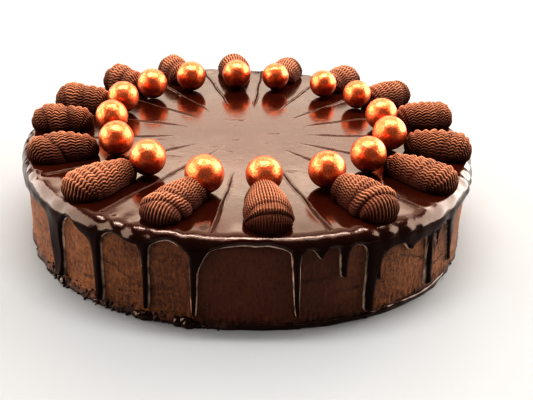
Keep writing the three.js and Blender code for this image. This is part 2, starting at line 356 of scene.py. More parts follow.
class NodeSheet:
    """Adds and links nodes in one tree. What a node takes is a number, a tuple or a Value."""

    def __init__(self, tree: NodeTree) -> None:
        """Keeps the tree that the nodes go in."""
        self.tree = tree

    def put(self, socket: NodeSocket, value: object) -> None:
        """Gives a value to a node's input, with an alpha of 1 for a colour.

        Args:
            socket: the input.
            value: what it gets.
        """
        if isinstance(value, Value):
            self.tree.links.new(value.socket, socket)
        else:
            socket.default_value = (*value, 1.0) if socket.type == "RGBA" else value

    def add(self, kind: str, values: dict[str | int, object] | None = None, **settings: object) -> Node:
        """Adds a node.

        Args:
            kind: the node's type name.
            values: what goes into its inputs, by name or number.
            settings: the node's own properties.

        Returns:
            The node.
        """
        node = self.tree.nodes.new(kind)
        for key, value in settings.items():
            setattr(node, key, value)
        for key, value in (values or {}).items():
            self.put(node.inputs[key], value)
        return node

    def read(self, kind: str, values: dict | None = None, output: str | int = 0, **settings: object) -> Value:
        """Adds a node and gives one of its outputs."""
        return Value(self, self.add(kind, values, **settings).outputs[output])

    def math(self, operation: str, *values: object) -> Value:
        """Adds a Math node."""
        return self.read("ShaderNodeMath", dict(enumerate(values)), operation=operation)

    def noise(self, vector: Value, of: Noise) -> Value:
        """Reads a noise, from 0 to 1, at a vector."""
        values = {"Vector": vector, "Scale": of.scale, "Detail": of.detail, "Roughness": of.roughness}
        return self.read("ShaderNodeTexNoise", values)

    def cells(self, vector: Value, scale: float) -> Value:
        """Gives the distance to the nearest of many scattered points."""
        return self.read("ShaderNodeTexVoronoi", {"Vector": vector, "Scale": scale})

    def ramp(self, factor: Value, *stops: tuple[float, tuple]) -> Value:
        """Looks a factor up in a colour ramp.

        Args:
            factor: what is looked up.
            stops: the place and colour of each stop.

        Returns:
            The colour.
        """
        node = self.add("ShaderNodeValToRGB", {"Fac": factor})
        elements = node.color_ramp.elements
        while len(elements) < len(stops):
            elements.new(0.5)
        for element, (place, colour) in zip(elements, stops):
            element.position = place
            element.color = (*colour, 1.0)
        return Value(self, node.outputs["Color"])

    def blend(self, factor: Value, first: object, second: object) -> Value:
        """Mixes two colours."""
        return self.read("ShaderNodeMix", {0: factor, 6: first, 7: second}, 2, data_type="RGBA")

    def stretch(self, vector: Value, scale: tuple, spin: float = 0.0) -> Value:
        """Scales a vector along its axes and turns it about the upright."""
        return self.read("ShaderNodeMapping", {"Vector": vector, "Scale": scale, "Rotation": (0, 0, spin)})

    def axes(self, vector: Value) -> list[Value]:
        """Gives a vector's x, y and z."""
        return [Value(self, axis) for axis in self.add("ShaderNodeSeparateXYZ", {0: vector}).outputs]

    def upright(self, z: Value) -> Value:
        """Gives a vector that points up by z."""
        return self.read("ShaderNodeCombineXYZ", {"Z": z})

    def vector_sum(self, a: Value, b: Value) -> Value:
        """Gives the sum of two vectors."""
        return self.read("ShaderNodeVectorMath", {0: a, 1: b}, operation="ADD")

    def scaled(self, vector: Value, scale: Value) -> Value:
        """Gives a vector scaled by a number."""
        return self.read("ShaderNodeVectorMath", {0: vector, "Scale": scale}, operation="SCALE")

    def attribute(self, name: str) -> Value:
        """Reads a number kept on the mesh, for a material."""
        return self.read("ShaderNodeAttribute", output="Fac", attribute_name=name)

    def relief(self, *layers: tuple[Value, float]) -> Value:
        """Chains bump nodes.

        Args:
            layers: each layer's height, from 0 to 1, and its depth in millimetres.

        Returns:
            The normal.
        """
        chain: dict[str, Value] = {}
        for height, depth in layers:
            values = {"Height": height, "Distance": depth * MM, "Strength": 1.0, **chain}
            chain = {"Normal": self.read("ShaderNodeBump", values)}
        return chain["Normal"]


class GrowthTree(NodeSheet):
    """A Geometry Nodes tree with named inputs, which ends in plain faces of one material."""

    def __init__(self, name: str, material: Material, inputs: dict[str, str]) -> None:
        """Opens the tree.

        Args:
            name: the tree's name.
            material: what the result is made of.
            inputs: the kind of each named input.
        """
        super().__init__(bpy.data.node_groups.new(name, "GeometryNodeTree"))
        self.material = material
        face = self.tree.interface
        for key, kind in inputs.items():
            face.new_socket(key, in_out="INPUT", socket_type=f"NodeSocket{kind}")
        face.new_socket("Geometry", in_out="OUTPUT", socket_type="NodeSocketGeometry")
        given = self.add("NodeGroupInput").outputs
        self.given = [Value(self, given[key]) for key in inputs]
        self.place = self.read("GeometryNodeInputPosition")
        self.normal = self.read("GeometryNodeInputNormal")

    def named(self, name: str, kind: str = "FLOAT") -> Value:
        """Reads what is kept on the mesh under a name."""
        return self.read("GeometryNodeInputNamedAttribute", {"Name": name}, data_type=kind)

    def ball(self, detail: int) -> Value:
        """Makes a ball of radius 1."""
        return self.read("GeometryNodeMeshIcoSphere", {"Radius": 1.0, "Subdivisions": detail})

    def moved(self, geometry: Value, **to: Value) -> Value:
        """Moves points to a Position or by an Offset."""
        return self.read("GeometryNodeSetPosition", {"Geometry": geometry, **to})

    def realized(self, geometry: Value) -> Value:
        """Turns instances into plain faces."""
        return self.read("GeometryNodeRealizeInstances", {"Geometry": geometry})

    def close(self, geometry: Value) -> NodeTree:
        """Ends the tree.

        Args:
            geometry: what the tree gives out.

        Returns:
            The tree.
        """
        values = {"Geometry": self.realized(geometry), "Material": self.material}
        self.add("NodeGroupOutput", {"Geometry": self.read("GeometryNodeSetMaterial", values)})
        return self.tree


# ------------------------ finishes


@dataclass(frozen=True)
class Finish:
    """What all finishes share: one shader, whose colour, gloss and relief are nodes."""

    name: str
    roughness: float = 0.5
    metallic: float = 0.0
    ior: float = 1.45
    gloss: float = 0.5
    tint: tuple = (1.0, 1.0, 1.0)

    def material(self) -> Material:
        """Builds the material.

        Returns:
            The material, with the finish's look over its even values.
        """
        material = bpy.data.materials.new(self.name)
        material.use_nodes = True
        sheet = NodeSheet(material.node_tree)
        values = {
            "Roughness": self.roughness, "Metallic": self.metallic, "IOR": self.ior,
            "Specular IOR Level": self.gloss, "Specular Tint": self.tint,
            **self.look(sheet, sheet.read("ShaderNodeTexCoord", output="Object")),
        }
        for key, value in values.items():
            sheet.put(material.node_tree.nodes["Principled BSDF"].inputs[key], value)
        return material

    def look(self, sheet: NodeSheet, place: Value) -> dict[str, object]:
        """Gives what varies over the surface.

        Args:
            sheet: the material's nodes.
            place: the object coordinates.

        Returns:
            What goes into the shader's inputs, by their names.
        """
        raise NotImplementedError


# The knife's marks on the side: bearing and half reach in degrees, height in millimetres, and slope.
CRACKS = (
    (-28, 5.5, 22.5, -1.15), (-36, 3, 13, 0.5), (14, 5, 24, -0.1), (22, 4, 17.5, 0.05), (40, 5, 25, -0.8),
    (49, 4, 14, 0.7), (-58, 6, 21, 0.35), (95, 8, 19, 0.3), (138, 6, 26, -0.4), (196, 9, 15, 0.25),
    (240, 7, 22, -0.35),
)


@dataclass(frozen=True)
class Buttercream(Finish):
    """Matte chocolate buttercream, smoothed by hand, with pits, fine drags and darker patches.

    Its front is painted darker and redder over the front shade's reach, in radians, to each side of its
    middle bearing: painted shade on the unlit front.
    """

    dark: tuple = (0.058, 0.013, 0.0026)
    light: tuple = (0.235, 0.089, 0.029)
    # Painted shade: a darker, redder colour for the unlit front of the side.
    front_shade: tuple = (0.062, 0.009, 0.002)
    # Painted shade: the side's colour near the floor, where shade falls at the foot.
    foot: tuple = (0.020, 0.0045, 0.0016)
    # Painted shade: the colour inside the pits.
    pit_shade: tuple = (0.02, 0.006, 0.003)
    front_shade_middle: float = 0.10
    front_shade_reach: float = 0.40
    patches: Noise = Noise(34.0, 4.0, 0.6)
    streaks: Noise = Noise(210.0, 5.0, 0.65)
    streak_stretch: tuple = (1.0, 1.0, 2.6)
    grain: Noise = Noise(1150.0, 4.0, 0.75)
    grain_stretch: tuple = (1.0, 1.0, 0.35)
    pit_scale: float = 620.0
    pitted: Noise = Noise(130.0, 2.0)

    def look(self, sheet: NodeSheet, place: Value) -> dict[str, object]:
        """Gives the cream's mottled colour, with painted shade on the front, near the floor and in the pits,
        its broken gloss and its drags, pits and marks.

        Args:
            sheet: the material's nodes.
            place: the object coordinates.

        Returns:
            What goes into the shader's inputs, by their names.
        """
        patches = sheet.noise(place, self.patches)
        streaks = sheet.noise(sheet.stretch(place, self.streak_stretch), self.streaks)
        grain = sheet.noise(sheet.stretch(place, self.grain_stretch), self.grain)
        pitted = sheet.noise(place, self.pitted).span(0.48, 0.62)
        hole = sheet.cells(place, self.pit_scale).span(0.08, 0.26, 0.7, 0.0) * pitted
        tone = patches * 0.55 + streaks * 0.45 + (grain - 0.5) * 0.75
        colour = sheet.ramp(tone, (0.34, self.dark), (0.66, self.light))
        x, y, z = sheet.axes(place)
        bearing = sheet.math("ARCTAN2", x, y * -1.0)
        # Painted shade: the front of the side is blended towards a darker, redder colour.
        front_shade_mask = abs(bearing - self.front_shade_middle).span(self.front_shade_reach - 0.16, self.front_shade_reach, 0.72, 0.0)
        colour = sheet.blend(front_shade_mask, colour, self.front_shade)
        # Painted shade: the side is darker towards the floor.
        level = z + (streaks - 0.5) * 0.012
        colour = sheet.blend(level.span(0.0012, 0.0048, 0.85, 0.0), colour, self.foot)
        # Painted shade in the pits.
        colour = sheet.blend(hole * 0.7, colour, self.pit_shade)
        rough = streaks.span(0.3, 0.7, self.roughness - 0.08, self.roughness + 0.1)
        uncut = 1.0 - self.cracks(sheet, bearing, z, streaks)
        relief = sheet.relief((streaks, 0.45), (grain, 0.30), (1.0 - hole, 0.4), (uncut, 0.8))
        return {"Base Color": colour, "Roughness": rough, "Normal": relief}

    @staticmethod
    def cracks(sheet: NodeSheet, bearing: Value, z: Value, wobble: Value) -> Value:
        """Gives the few long marks that the smoothing knife left on the side.

        Args:
            sheet: the material's nodes.
            bearing: the bearing in radians.
            z: the height in metres.
            wobble: noise that bends the marks.

        Returns:
            The marks, from 0 to 1.
        """
        found = 0.0
        for at, reach, level, slope in CRACKS:
            along = bearing - at * DEGREE
            line = along * (slope * MM / DEGREE) + level * MM + (wobble - 0.5) * 0.010
            inside = abs(along).span((reach - 1.5) * DEGREE, reach * DEGREE, 1.0, 0.0)
            found = sheet.math("MAXIMUM", found, abs(z - line).span(0.0001, 0.0005, 1.0, 0.0) * inside)
        return found


@dataclass(frozen=True)
class Ganache(Finish):
    """Mirror-glossy dark glaze with faint set wrinkles, dull where the knife tore it."""

    colour: tuple = (0.030, 0.0055, 0.0020)
    # Painted shade: a darker colour for the glaze that hangs down the side.
    hanging: tuple = (0.012, 0.003, 0.0015)
    torn: tuple = (0.050, 0.014, 0.0065)
    # Painted highlight: a pale colour along the border's thin rim.
    rim: tuple = (0.62, 0.45, 0.37)
    tint: tuple = (1.0, 0.74, 0.60)
    waves: Noise = Noise(26.0, 2.0, 0.45)
    wrinkles: Noise = Noise(150.0)
    crumb: Noise = Noise(1400.0, 3.0, 0.7)
    rim_highlight_breaks: Noise = Noise(170.0)
    smears: Noise = Noise(60.0, 4.0)
    sags: Noise = Noise(310.0, 2.0)
    scratch: Noise = Noise(240.0, 2.0, 0.6)
    scratch_patches: Noise = Noise(45.0, 2.0)

    def look(self, sheet: NodeSheet, place: Value) -> dict[str, object]:
        """Gives the colour and gloss, with painted shade below the edge, a painted highlight along the rim
        and tears at the scores, and the relief.

        Args:
            sheet: the material's nodes.
            place: the object coordinates.

        Returns:
            What goes into the shader's inputs, by their names.
        """
        waves = sheet.noise(place, self.waves)
        score = sheet.attribute("scored")
        z = sheet.axes(place)[2]
        colour = sheet.blend(waves.span(0.35, 0.65), self.colour, tuple(c * 0.7 for c in self.colour))
        # Painted shade: the glaze is darker below the rounded edge.
        colour = sheet.blend(z.span(0.0450, 0.0435), colour, self.hanging)
        colour = sheet.blend(score, colour, self.torn)
        # Painted highlight: the border's rim is paled, broken up by noise.
        broken = sheet.noise(place, self.rim_highlight_breaks).span(0.35, 0.60, 0.25, 1.0)
        colour = sheet.blend(sheet.attribute("rim").span(0.2, 0.8) * broken, colour, self.rim)
        edge = z.span(0.0462, 0.0452)
        smears = sheet.noise(place, self.smears).span(0.35, 0.7, self.roughness, self.roughness + 0.07)
        rough = smears + edge * 0.03 + score * 0.6
        torn = score * sheet.noise(place, self.crumb)
        sags = sheet.noise(place, self.sags) * edge
        wrinkles = sheet.noise(place, self.wrinkles)
        marks = self.scratches(sheet, place)
        relief = sheet.relief((waves, 0.25), (wrinkles, 0.035), (marks, 0.17), (torn, 0.5), (sags, 0.13))
        return {"Base Color": colour, "Roughness": rough, "Normal": relief}

    def scratches(self, sheet: NodeSheet, place: Value) -> Value:
        """Gives the short raised marks that the spatula left in the middle of the top.

        Args:
            sheet: the material's nodes.
            place: the object coordinates.

        Returns:
            The marks' height, from 0 to 1.
        """
        drawn_out = sheet.stretch(place, (0.28, 1.0, 1.0), 0.35)
        line = sheet.noise(drawn_out, self.scratch).span(0.60, 0.74)
        gate = sheet.noise(place, self.scratch_patches).span(0.52, 0.60)
        x, y, _ = sheet.axes(place)
        return line * gate * sheet.math("SQRT", x * x + y * y).span(0.064, 0.078, 1.0, 0.0)


@dataclass(frozen=True)
class PipedCream(Finish):
    """Matte whipped ganache with a fine broken grain along its ridges, with painted shade in the valleys and
    a painted highlight on the crests.
    """

    gloss: float = 0.2
    # Painted shade and highlight: the dark colour goes in the valleys, creases and low parts, the light
    # colour on the crests.
    dark: tuple = (0.062, 0.0145, 0.0062)
    light: tuple = (0.41, 0.172, 0.093)
    grain: Noise = Noise(1700.0, 3.0, 0.7)
    patches: Noise = Noise(90.0, 3.0, 0.6)
    pores: Noise = Noise(520.0, 2.0)

    def look(self, sheet: NodeSheet, place: Value) -> dict[str, object]:
        """Gives the cream's colour, with a painted highlight on the ridges' crests and painted shade in the
        valleys, the creases and low down, and its grain.

        Args:
            sheet: the material's nodes.
            place: the object coordinates.

        Returns:
            What goes into the shader's inputs, by their names.
        """
        grain = sheet.noise(place, self.grain)
        # Painted highlight on the crests; painted shade in the valleys, the creases and low down.
        tone = sheet.attribute("crest") + (sheet.noise(place, self.patches) - 0.5) * 0.5
        tone = tone - sheet.attribute("crease") * 0.55 + (grain - 0.5) * 0.5
        tone = tone + sheet.attribute("lift").span(0.12, 0.85, -0.85, 0.15)
        mid = tuple((a + b) * 0.33 for a, b in zip(self.dark, self.light))
        colour = sheet.ramp(tone, (0.15, self.dark), (0.62, mid), (1.0, self.light))
        relief = sheet.relief((grain, 0.10), (sheet.noise(place, self.pores), 0.12))
        return {"Base Color": colour, "Normal": relief}


@dataclass(frozen=True)
class Lustre(Finish):
    """Copper lustre dust rubbed on chocolate: a broken metal coat with specks."""

    bright: tuple = (0.80, 0.225, 0.090)
    deep: tuple = (0.54, 0.080, 0.018)
    # Painted shade: a dark colour for the lower part of the ball.
    low_shade: tuple = (0.26, 0.034, 0.008)
    speck: tuple = (0.16, 0.03, 0.01)
    rubbed: Noise = Noise(330.0, 4.0, 0.65)
    dust: Noise = Noise(1250.0, 4.0, 0.8)
    speck_scale: float = 900.0

    def look(self, sheet: NodeSheet, place: Value) -> dict[str, object]:
        """Gives the dust's uneven copper, darker low on the ball as painted shade, with specks of chocolate.

        Args:
            sheet: the material's nodes.
            place: the object coordinates.

        Returns:
            What goes into the shader's inputs, by their names.
        """
        rubbed = sheet.noise(place, self.rubbed)
        dust = sheet.noise(place, self.dust)
        tone = rubbed * 0.45 + dust * 0.55
        colour = sheet.ramp(tone, (0.41, self.deep), (0.57, self.bright))
        # Painted shade: the ball is darker towards its bottom.
        level = sheet.axes(place)[2] + (rubbed - 0.5) * 0.004
        colour = sheet.blend(level.span(0.0478, 0.0555, 0.85, 0.0), colour, self.low_shade)
        specks = sheet.cells(place, self.speck_scale).span(0.16, 0.30, 0.75, 0.0)
        colour = sheet.blend(specks * rubbed.span(0.40, 0.55), colour, self.speck)
        rough = tone.span(0.35, 0.65, self.roughness + 0.12, self.roughness - 0.06)
        relief = sheet.relief((rubbed, 0.16), (dust, 0.09))
        return {"Base Color": colour, "Roughness": rough, "Normal": relief}


@dataclass(frozen=True)
class PaleFloor(Finish):
    """The plain pale floor."""

    colour: tuple = (0.225, 0.229, 0.232)
    clouds: Noise = Noise(3.0, 2.0)

    def look(self, sheet: NodeSheet, place: Value) -> dict[str, object]:
        """Gives the floor's faint cloudy tone."""
        cloud = sheet.noise(place, self.clouds).span(0.3, 0.7)
        return {"Base Color": sheet.blend(cloud, tuple(c * 0.98 for c in self.colour), self.colour)}


# ------------------------ the cake's form


@dataclass(frozen=True)
class CakeForm:
    """The cake's outline, which the buttercream and the glaze share.

    Each swell of the hand-spread side has a bearing, how far it stands out, and its reach in degrees.
    """

    radius: float = 118.2
    height: float = 43.25
    edge_round: float = 5.0
    foot_spread: float = 0.9
    foot_height: float = 3.0
    inner: float = 0.45
    glaze: float = 2.3
    swells: tuple = (
        (0, -1.7, 34), (45, 1.8, 30), (-44, 1.1, 30), (112, -0.7, 40), (170, 0.9, 35), (-120, 0.8, 40),
    )

    @property
    def shoulder(self) -> float:
        """Gives the height where the side starts to round over."""
        return self.height - self.edge_round

    @property
    def coat(self) -> float:
        """Gives how far the glaze's face stands off the cake."""
        return self.inner + self.glaze

    @property
    def coat_round(self) -> float:
        """Gives the radius of the glaze's rounded edge."""
        return self.edge_round + self.coat

    @property
    def top(self) -> float:
        """Gives the height of the glaze's top."""
        return self.height + self.coat

    @property
    def edge(self) -> float:
        """Gives the way to where the top is flat."""
        return self.shoulder + self.coat_round * math.pi / 2

    def uneven(self, bearing: ndarray) -> ndarray:
        """Gives how far the hand-spread side stands out or in.

        Args:
            bearing: in degrees.

        Returns:
            The distance at each bearing.
        """
        total = np.zeros(np.shape(bearing))
        for at, amount, reach in self.swells:
            near = np.clip(np.abs(turn(at, bearing)) / reach, 0, 1)
            total = total + amount * 0.5 * (1 + np.cos(np.pi * near))
        return total

    def walk(self, way: ndarray, offset: ndarray | float, bearing: ndarray) -> ndarray:
        """Places points on the side, round the edge and across the top.

        Args:
            way: the way from the floor along the glaze's outer face.
            offset: how far outside the cake's own surface.
            bearing: in degrees.

        Returns:
            The points.
        """
        arc = np.clip((way - self.shoulder) / self.coat_round, 0, math.pi / 2)
        flat = np.clip(way - self.edge, 0, None)
        round_here = self.edge_round + offset
        reach = self.radius - self.edge_round
        out = reach + round_here * np.cos(arc)
        z = np.minimum(way, self.shoulder) + round_here * np.sin(arc)
        swell = self.uneven(bearing) * smoothstep(1 - flat / reach, 0.0, 1.0)
        return polar(bearing, out - flat + swell, z)


# ------------------------ buttercream


@dataclass
class ButtercreamCake:
    """The cake's body with its smoothed side and its ragged foot.

    Each lap of the spatula has a bearing, a height, a slope and a reach in degrees.
    """

    form: CakeForm
    columns: int = 1500
    rows: int = 52
    ragged: Ripples = Ripples(0.5, 5, 24, 60, 1.5, 2.0)
    smooth: Ripples = Ripples(0.28, 6, 18, 22, 1.2, 9.0)
    drag: Ripples = Ripples(0.10, 7, 22, 60, 1.0, 2.2)
    pitted: Ripples = Ripples(0.08, 8, 40, 340, 2.4, 1.3)
    laps: tuple = ((-31, 35.5, -0.62, 9), (-68, 30, -0.5, 12), (130, 30, -0.4, 14), (-150, 22, 0.3, 16))

    def foot(self, bearing: ndarray, z: ndarray) -> ndarray:
        """Gives how far the ragged foot stands out of the side at each bearing and height."""
        spread = self.form.foot_spread * np.clip(1 - z / self.form.foot_height, 0, 1) ** 1.4
        return spread * (1 + self.ragged.at(bearing, z))

    def lap_marks(self, bearing: ndarray, z: ndarray) -> ndarray:
        """Gives the depth of the spatula's slanting lap marks.

        Args:
            bearing: in degrees.
            z: the height.

        Returns:
            The depth at each point.
        """
        depth = np.zeros(np.broadcast(bearing, z).shape)
        for start, level, slope, reach in self.laps:
            along = turn(start, bearing)
            line = level + slope * along
            inside = smoothstep(along, -1, 1) * (1 - smoothstep(along, reach - 2, reach))
            below = line - z
            depth = depth + 0.45 * inside * np.exp(-np.abs(below) / 0.35)
            depth = depth + 0.25 * inside * smoothstep(below, 0, 0.4) * (1 - smoothstep(below, 1.0, 5.0))
        return depth

    def build(self) -> Object:
        """Builds the body.

        Returns:
            The piece.
        """
        form = self.form
        bearing = np.linspace(-180, 180, self.columns, endpoint=False)[None, :]
        way = np.linspace(0.0, form.edge + 4.0, self.rows)[:, None]
        z = np.minimum(way, form.height)
        pitted = self.pitted.at(bearing, z) * (3.2 - 2.2 * smoothstep(z, 2, 13))
        uneven = self.smooth.at(bearing, z) + self.drag.at(bearing, z) + pitted - self.lap_marks(bearing, z)
        rings = form.walk(way, self.foot(bearing, z) + uneven * smoothstep(z, -0.5, 3), bearing)
        rings[..., 2] = np.clip(rings[..., 2], 0, form.height + 0.2)
        rings = np.concatenate([rings[:1] * [0.985, 0.985, 0], rings])
        piece = closed_rings("cake_body_iced", rings, (0, 0, 0), (0, 0, form.height))
        piece.data.materials.append(Buttercream("buttercream", roughness=0.62, ior=1.4).material())
        return piece


# ------------------------ glaze


# The hanging border in front: bearing, and the way up the side.
FRONT_BORDER = (
    (-84, 33.6), (-81.5, 33), (-80.3, 30), (-79.9, 26), (-79.2, 24.4), (-78.4, 26), (-78, 30), (-76.8, 33),
    (-73, 34.2), (-66.4, 34.3), (-61, 34.6), (-54.7, 35.1), (-51.3, 35.4), (-50.3, 32), (-50.1, 27),
    (-50, 10), (-49.7, 5.4), (-48.6, 3.9), (-46.6, 3.8), (-45.3, 4.8), (-44.8, 8.5), (-44.6, 15),
    (-44.55, 24), (-44.4, 30), (-43.8, 34.8), (-42.9, 37.8), (-41.8, 39.7), (-40.4, 39.2), (-38, 35.9),
    (-36.2, 33.9), (-35.3, 30.8), (-35, 26), (-34.9, 17), (-34.8, 9), (-34.6, 5), (-33.9, 2.9), (-32.9, 3.2),
    (-32.4, 7), (-32.3, 16), (-32.25, 28), (-32.1, 34), (-31.6, 37.4), (-30.6, 39.4), (-29.6, 40.4),
    (-28, 40.1), (-26.5, 39), (-25, 38.1), (-23.5, 37.9), (-22.9, 36.8), (-22.65, 34), (-22.55, 28),
    (-22.5, 14), (-22.3, 7.3), (-21.7, 5.2), (-21.1, 6.4), (-20.9, 10.5), (-20.8, 21), (-20.7, 31.5),
    (-20.5, 36.5), (-20, 38.9), (-19.2, 40.7), (-18.2, 42.1), (-16.8, 42.9), (-15.4, 42.1), (-14.1, 40.4),
    (-12.9, 38.5), (-12.2, 37), (-11.95, 34), (-11.9, 26), (-11.8, 15), (-11.65, 8), (-11.2, 5.4),
    (-10.6, 5.4), (-10.3, 9), (-10.15, 18), (-10, 27), (-9.7, 30), (-9, 33.6), (-8.2, 36.9), (-7.2, 39.7),
    (-5.8, 41.3), (-3.3, 42.8), (0, 43.6), (2.9, 43.7), (5.3, 43.4), (7, 42.3), (8.2, 40.7), (9, 39.2),
    (9.4, 37.5), (9.6, 34), (9.7, 26), (9.75, 12), (10, 7), (10.5, 5.8), (11.1, 6.2), (11.45, 9), (11.55, 16),
    (11.6, 26), (11.65, 33), (11.8, 36.8), (12.2, 38.9), (13, 39.8), (13.9, 40), (14.5, 38.6), (15.1, 36.7),
    (15.7, 35.2), (16.2, 34.9), (16.7, 36.3), (17.2, 38.5), (18, 39.8), (19.1, 40.1), (19.7, 39.1),
    (19.95, 36.9), (20.1, 33), (20.25, 28), (20.5, 25.2), (21.1, 24), (21.8, 23.8), (22.05, 25.5),
    (22.15, 29), (22.2, 33), (22.35, 36.3), (22.6, 38.8), (23.2, 40.1), (24.2, 40), (25.2, 39.2),
    (25.8, 37.4), (26.2, 35), (26.35, 26), (26.45, 16), (26.6, 6), (27.4, 3.8), (28.6, 3.6), (29, 5),
    (29.15, 9), (29.25, 15), (29.45, 19.2), (30, 20.2), (30.25, 22.5), (30.3, 26), (30.4, 29), (30.8, 31.4),
    (31.6, 33.2), (33.4, 34.5), (35.7, 34.2), (36.7, 32.5), (37.5, 30.4), (38.4, 30), (39.2, 31.9),
    (40.7, 32.8), (42.5, 33.4), (43.3, 33), (43.7, 30), (43.8, 20), (43.85, 10), (44, 5.6), (44.5, 4.5),
    (45, 4.6), (45.35, 6), (45.45, 12), (45.5, 24), (45.6, 30), (45.9, 32.6), (46.4, 33), (46.7, 30),
    (46.95, 23), (47.2, 18.4), (47.45, 23), (47.7, 30), (48.1, 34), (49.4, 35.3), (51, 35.2), (51.8, 32),
    (52.3, 20), (52.8, 10), (53.4, 8), (54, 9.6), (54.6, 18), (55, 28), (55.6, 34.6), (57.4, 36.3),
    (60.2, 35.6), (63, 36.6), (68, 37), (74, 36), (76.5, 34.6), (77.5, 32), (78, 27), (78.8, 24.6),
    (79.7, 26.5), (80.2, 31), (81.5, 34.5), (84, 35),
)
# How far a run has drifted round the side where it ends: bearing, and degrees.
LEANS = (
    (-84, 0), (-53, 0), (-50, 1.2), (-44.6, -0.7), (-42, 0), (8.4, 0), (9.8, 1.1), (11.6, 0.5), (13.5, 0),
    (42.3, 0), (43.8, 0.6), (45.6, 3.1), (50, 3.4), (56, 2.6), (64, 0), (276, 0),
)
# The scored lines: bearing, and the distance from the axis where each starts.
SCORES = (
    (18.5, 44), (43, 31), (66, 32), (90, 33), (112.5, 34), (135, 36), (154.5, 44), (176, 40), (196, 48),
    (215, 40), (234, 36), (256.5, 37), (278, 42), (301, 34), (326, 31), (352.5, 52),
)


@dataclass
class GlazeBorder:
    """The coat's hanging border: its arches and drips all round, by bearing and way up the side.

    Scale is a degree's width in millimetres, and the pitch is the degrees between the drips at the back.
    """

    back_from: float = 80.0
    back_to: float = 283.0
    clear_from: float = 89.0
    clear_to: float = 270.0
    pitch: float = 12.7
    seed: int = 11
    scale: float = 2.1
    seam: float = 84.0
    rough: Ripples = Ripples(0.22, 21, 20, 90)
    stops: list[tuple[float, float]] = field(default_factory=list)

    def __post_init__(self) -> None:
        """Sets a seeded row of drips round the back after the arches and drips in front."""
        state = self.seed

        def draw() -> float:
            """Gives the next repeatable number from 0 to 1."""
            nonlocal state
            state = (state * 1664525 + 1013904223) % 2**32
            return state / 2**32

        random = np.random.default_rng(self.seed)
        stops = list(FRONT_BORDER)
        bearing = self.back_from
        while bearing < self.back_to:
            at = bearing + (draw() - 0.5) * 5
            long_one = draw() < 0.6
            end = 4.6 + 2 * draw() if long_one else 12 + 16 * draw()
            half = (4.4 + 3.2 * draw()) * 0.42 / self.scale
            bearing += self.pitch
            if not self.clear_from < at < self.clear_to:
                continue
            left, right, peak = random.uniform(34, 38, 3) + np.array([0, 0, 3.4])
            before, after = at - half, at + half
            stops += [
                (before - 2.6, left + 1.6), (before - 1.1, left - 0.6), (before - 0.3, left - 5),
                (before - 0.05, end + 7), (before + 0.1, end + 2.2), (at - half * 0.5, end + 0.3),
                (at, end),
                (at + half * 0.5, end + 0.3), (after - 0.1, end + 2.2), (after + 0.05, end + 7),
                (after + 0.3, right - 5), (after + 1.1, right - 0.6), (after + 2.6, right + 1.6),
                (after + 4.2, peak),
            ]
        self.stops = stops + [(at + 360, height) for at, height in FRONT_BORDER[:3]]

    def around(self, bearing: ndarray) -> ndarray:
        """Gives bearings as the border's tables count them, from one whole turn's start to its end."""
        return (bearing + self.seam) % 360 - self.seam

    def height(self, bearing: ndarray) -> ndarray:
        """Gives the border's way up the side at each bearing."""
        return smooth_line(self.stops, self.around(bearing)) + self.rough.at(bearing)

    def leaned(self, bearing: ndarray, way: ndarray) -> ndarray:
        """Gives the bearings where a run of glaze has drifted to on its way down."""
        at, shift = np.array(LEANS, float).T
        return bearing + np.interp(self.around(bearing), at, shift) * np.clip((33 - way) / 28, 0, 1)


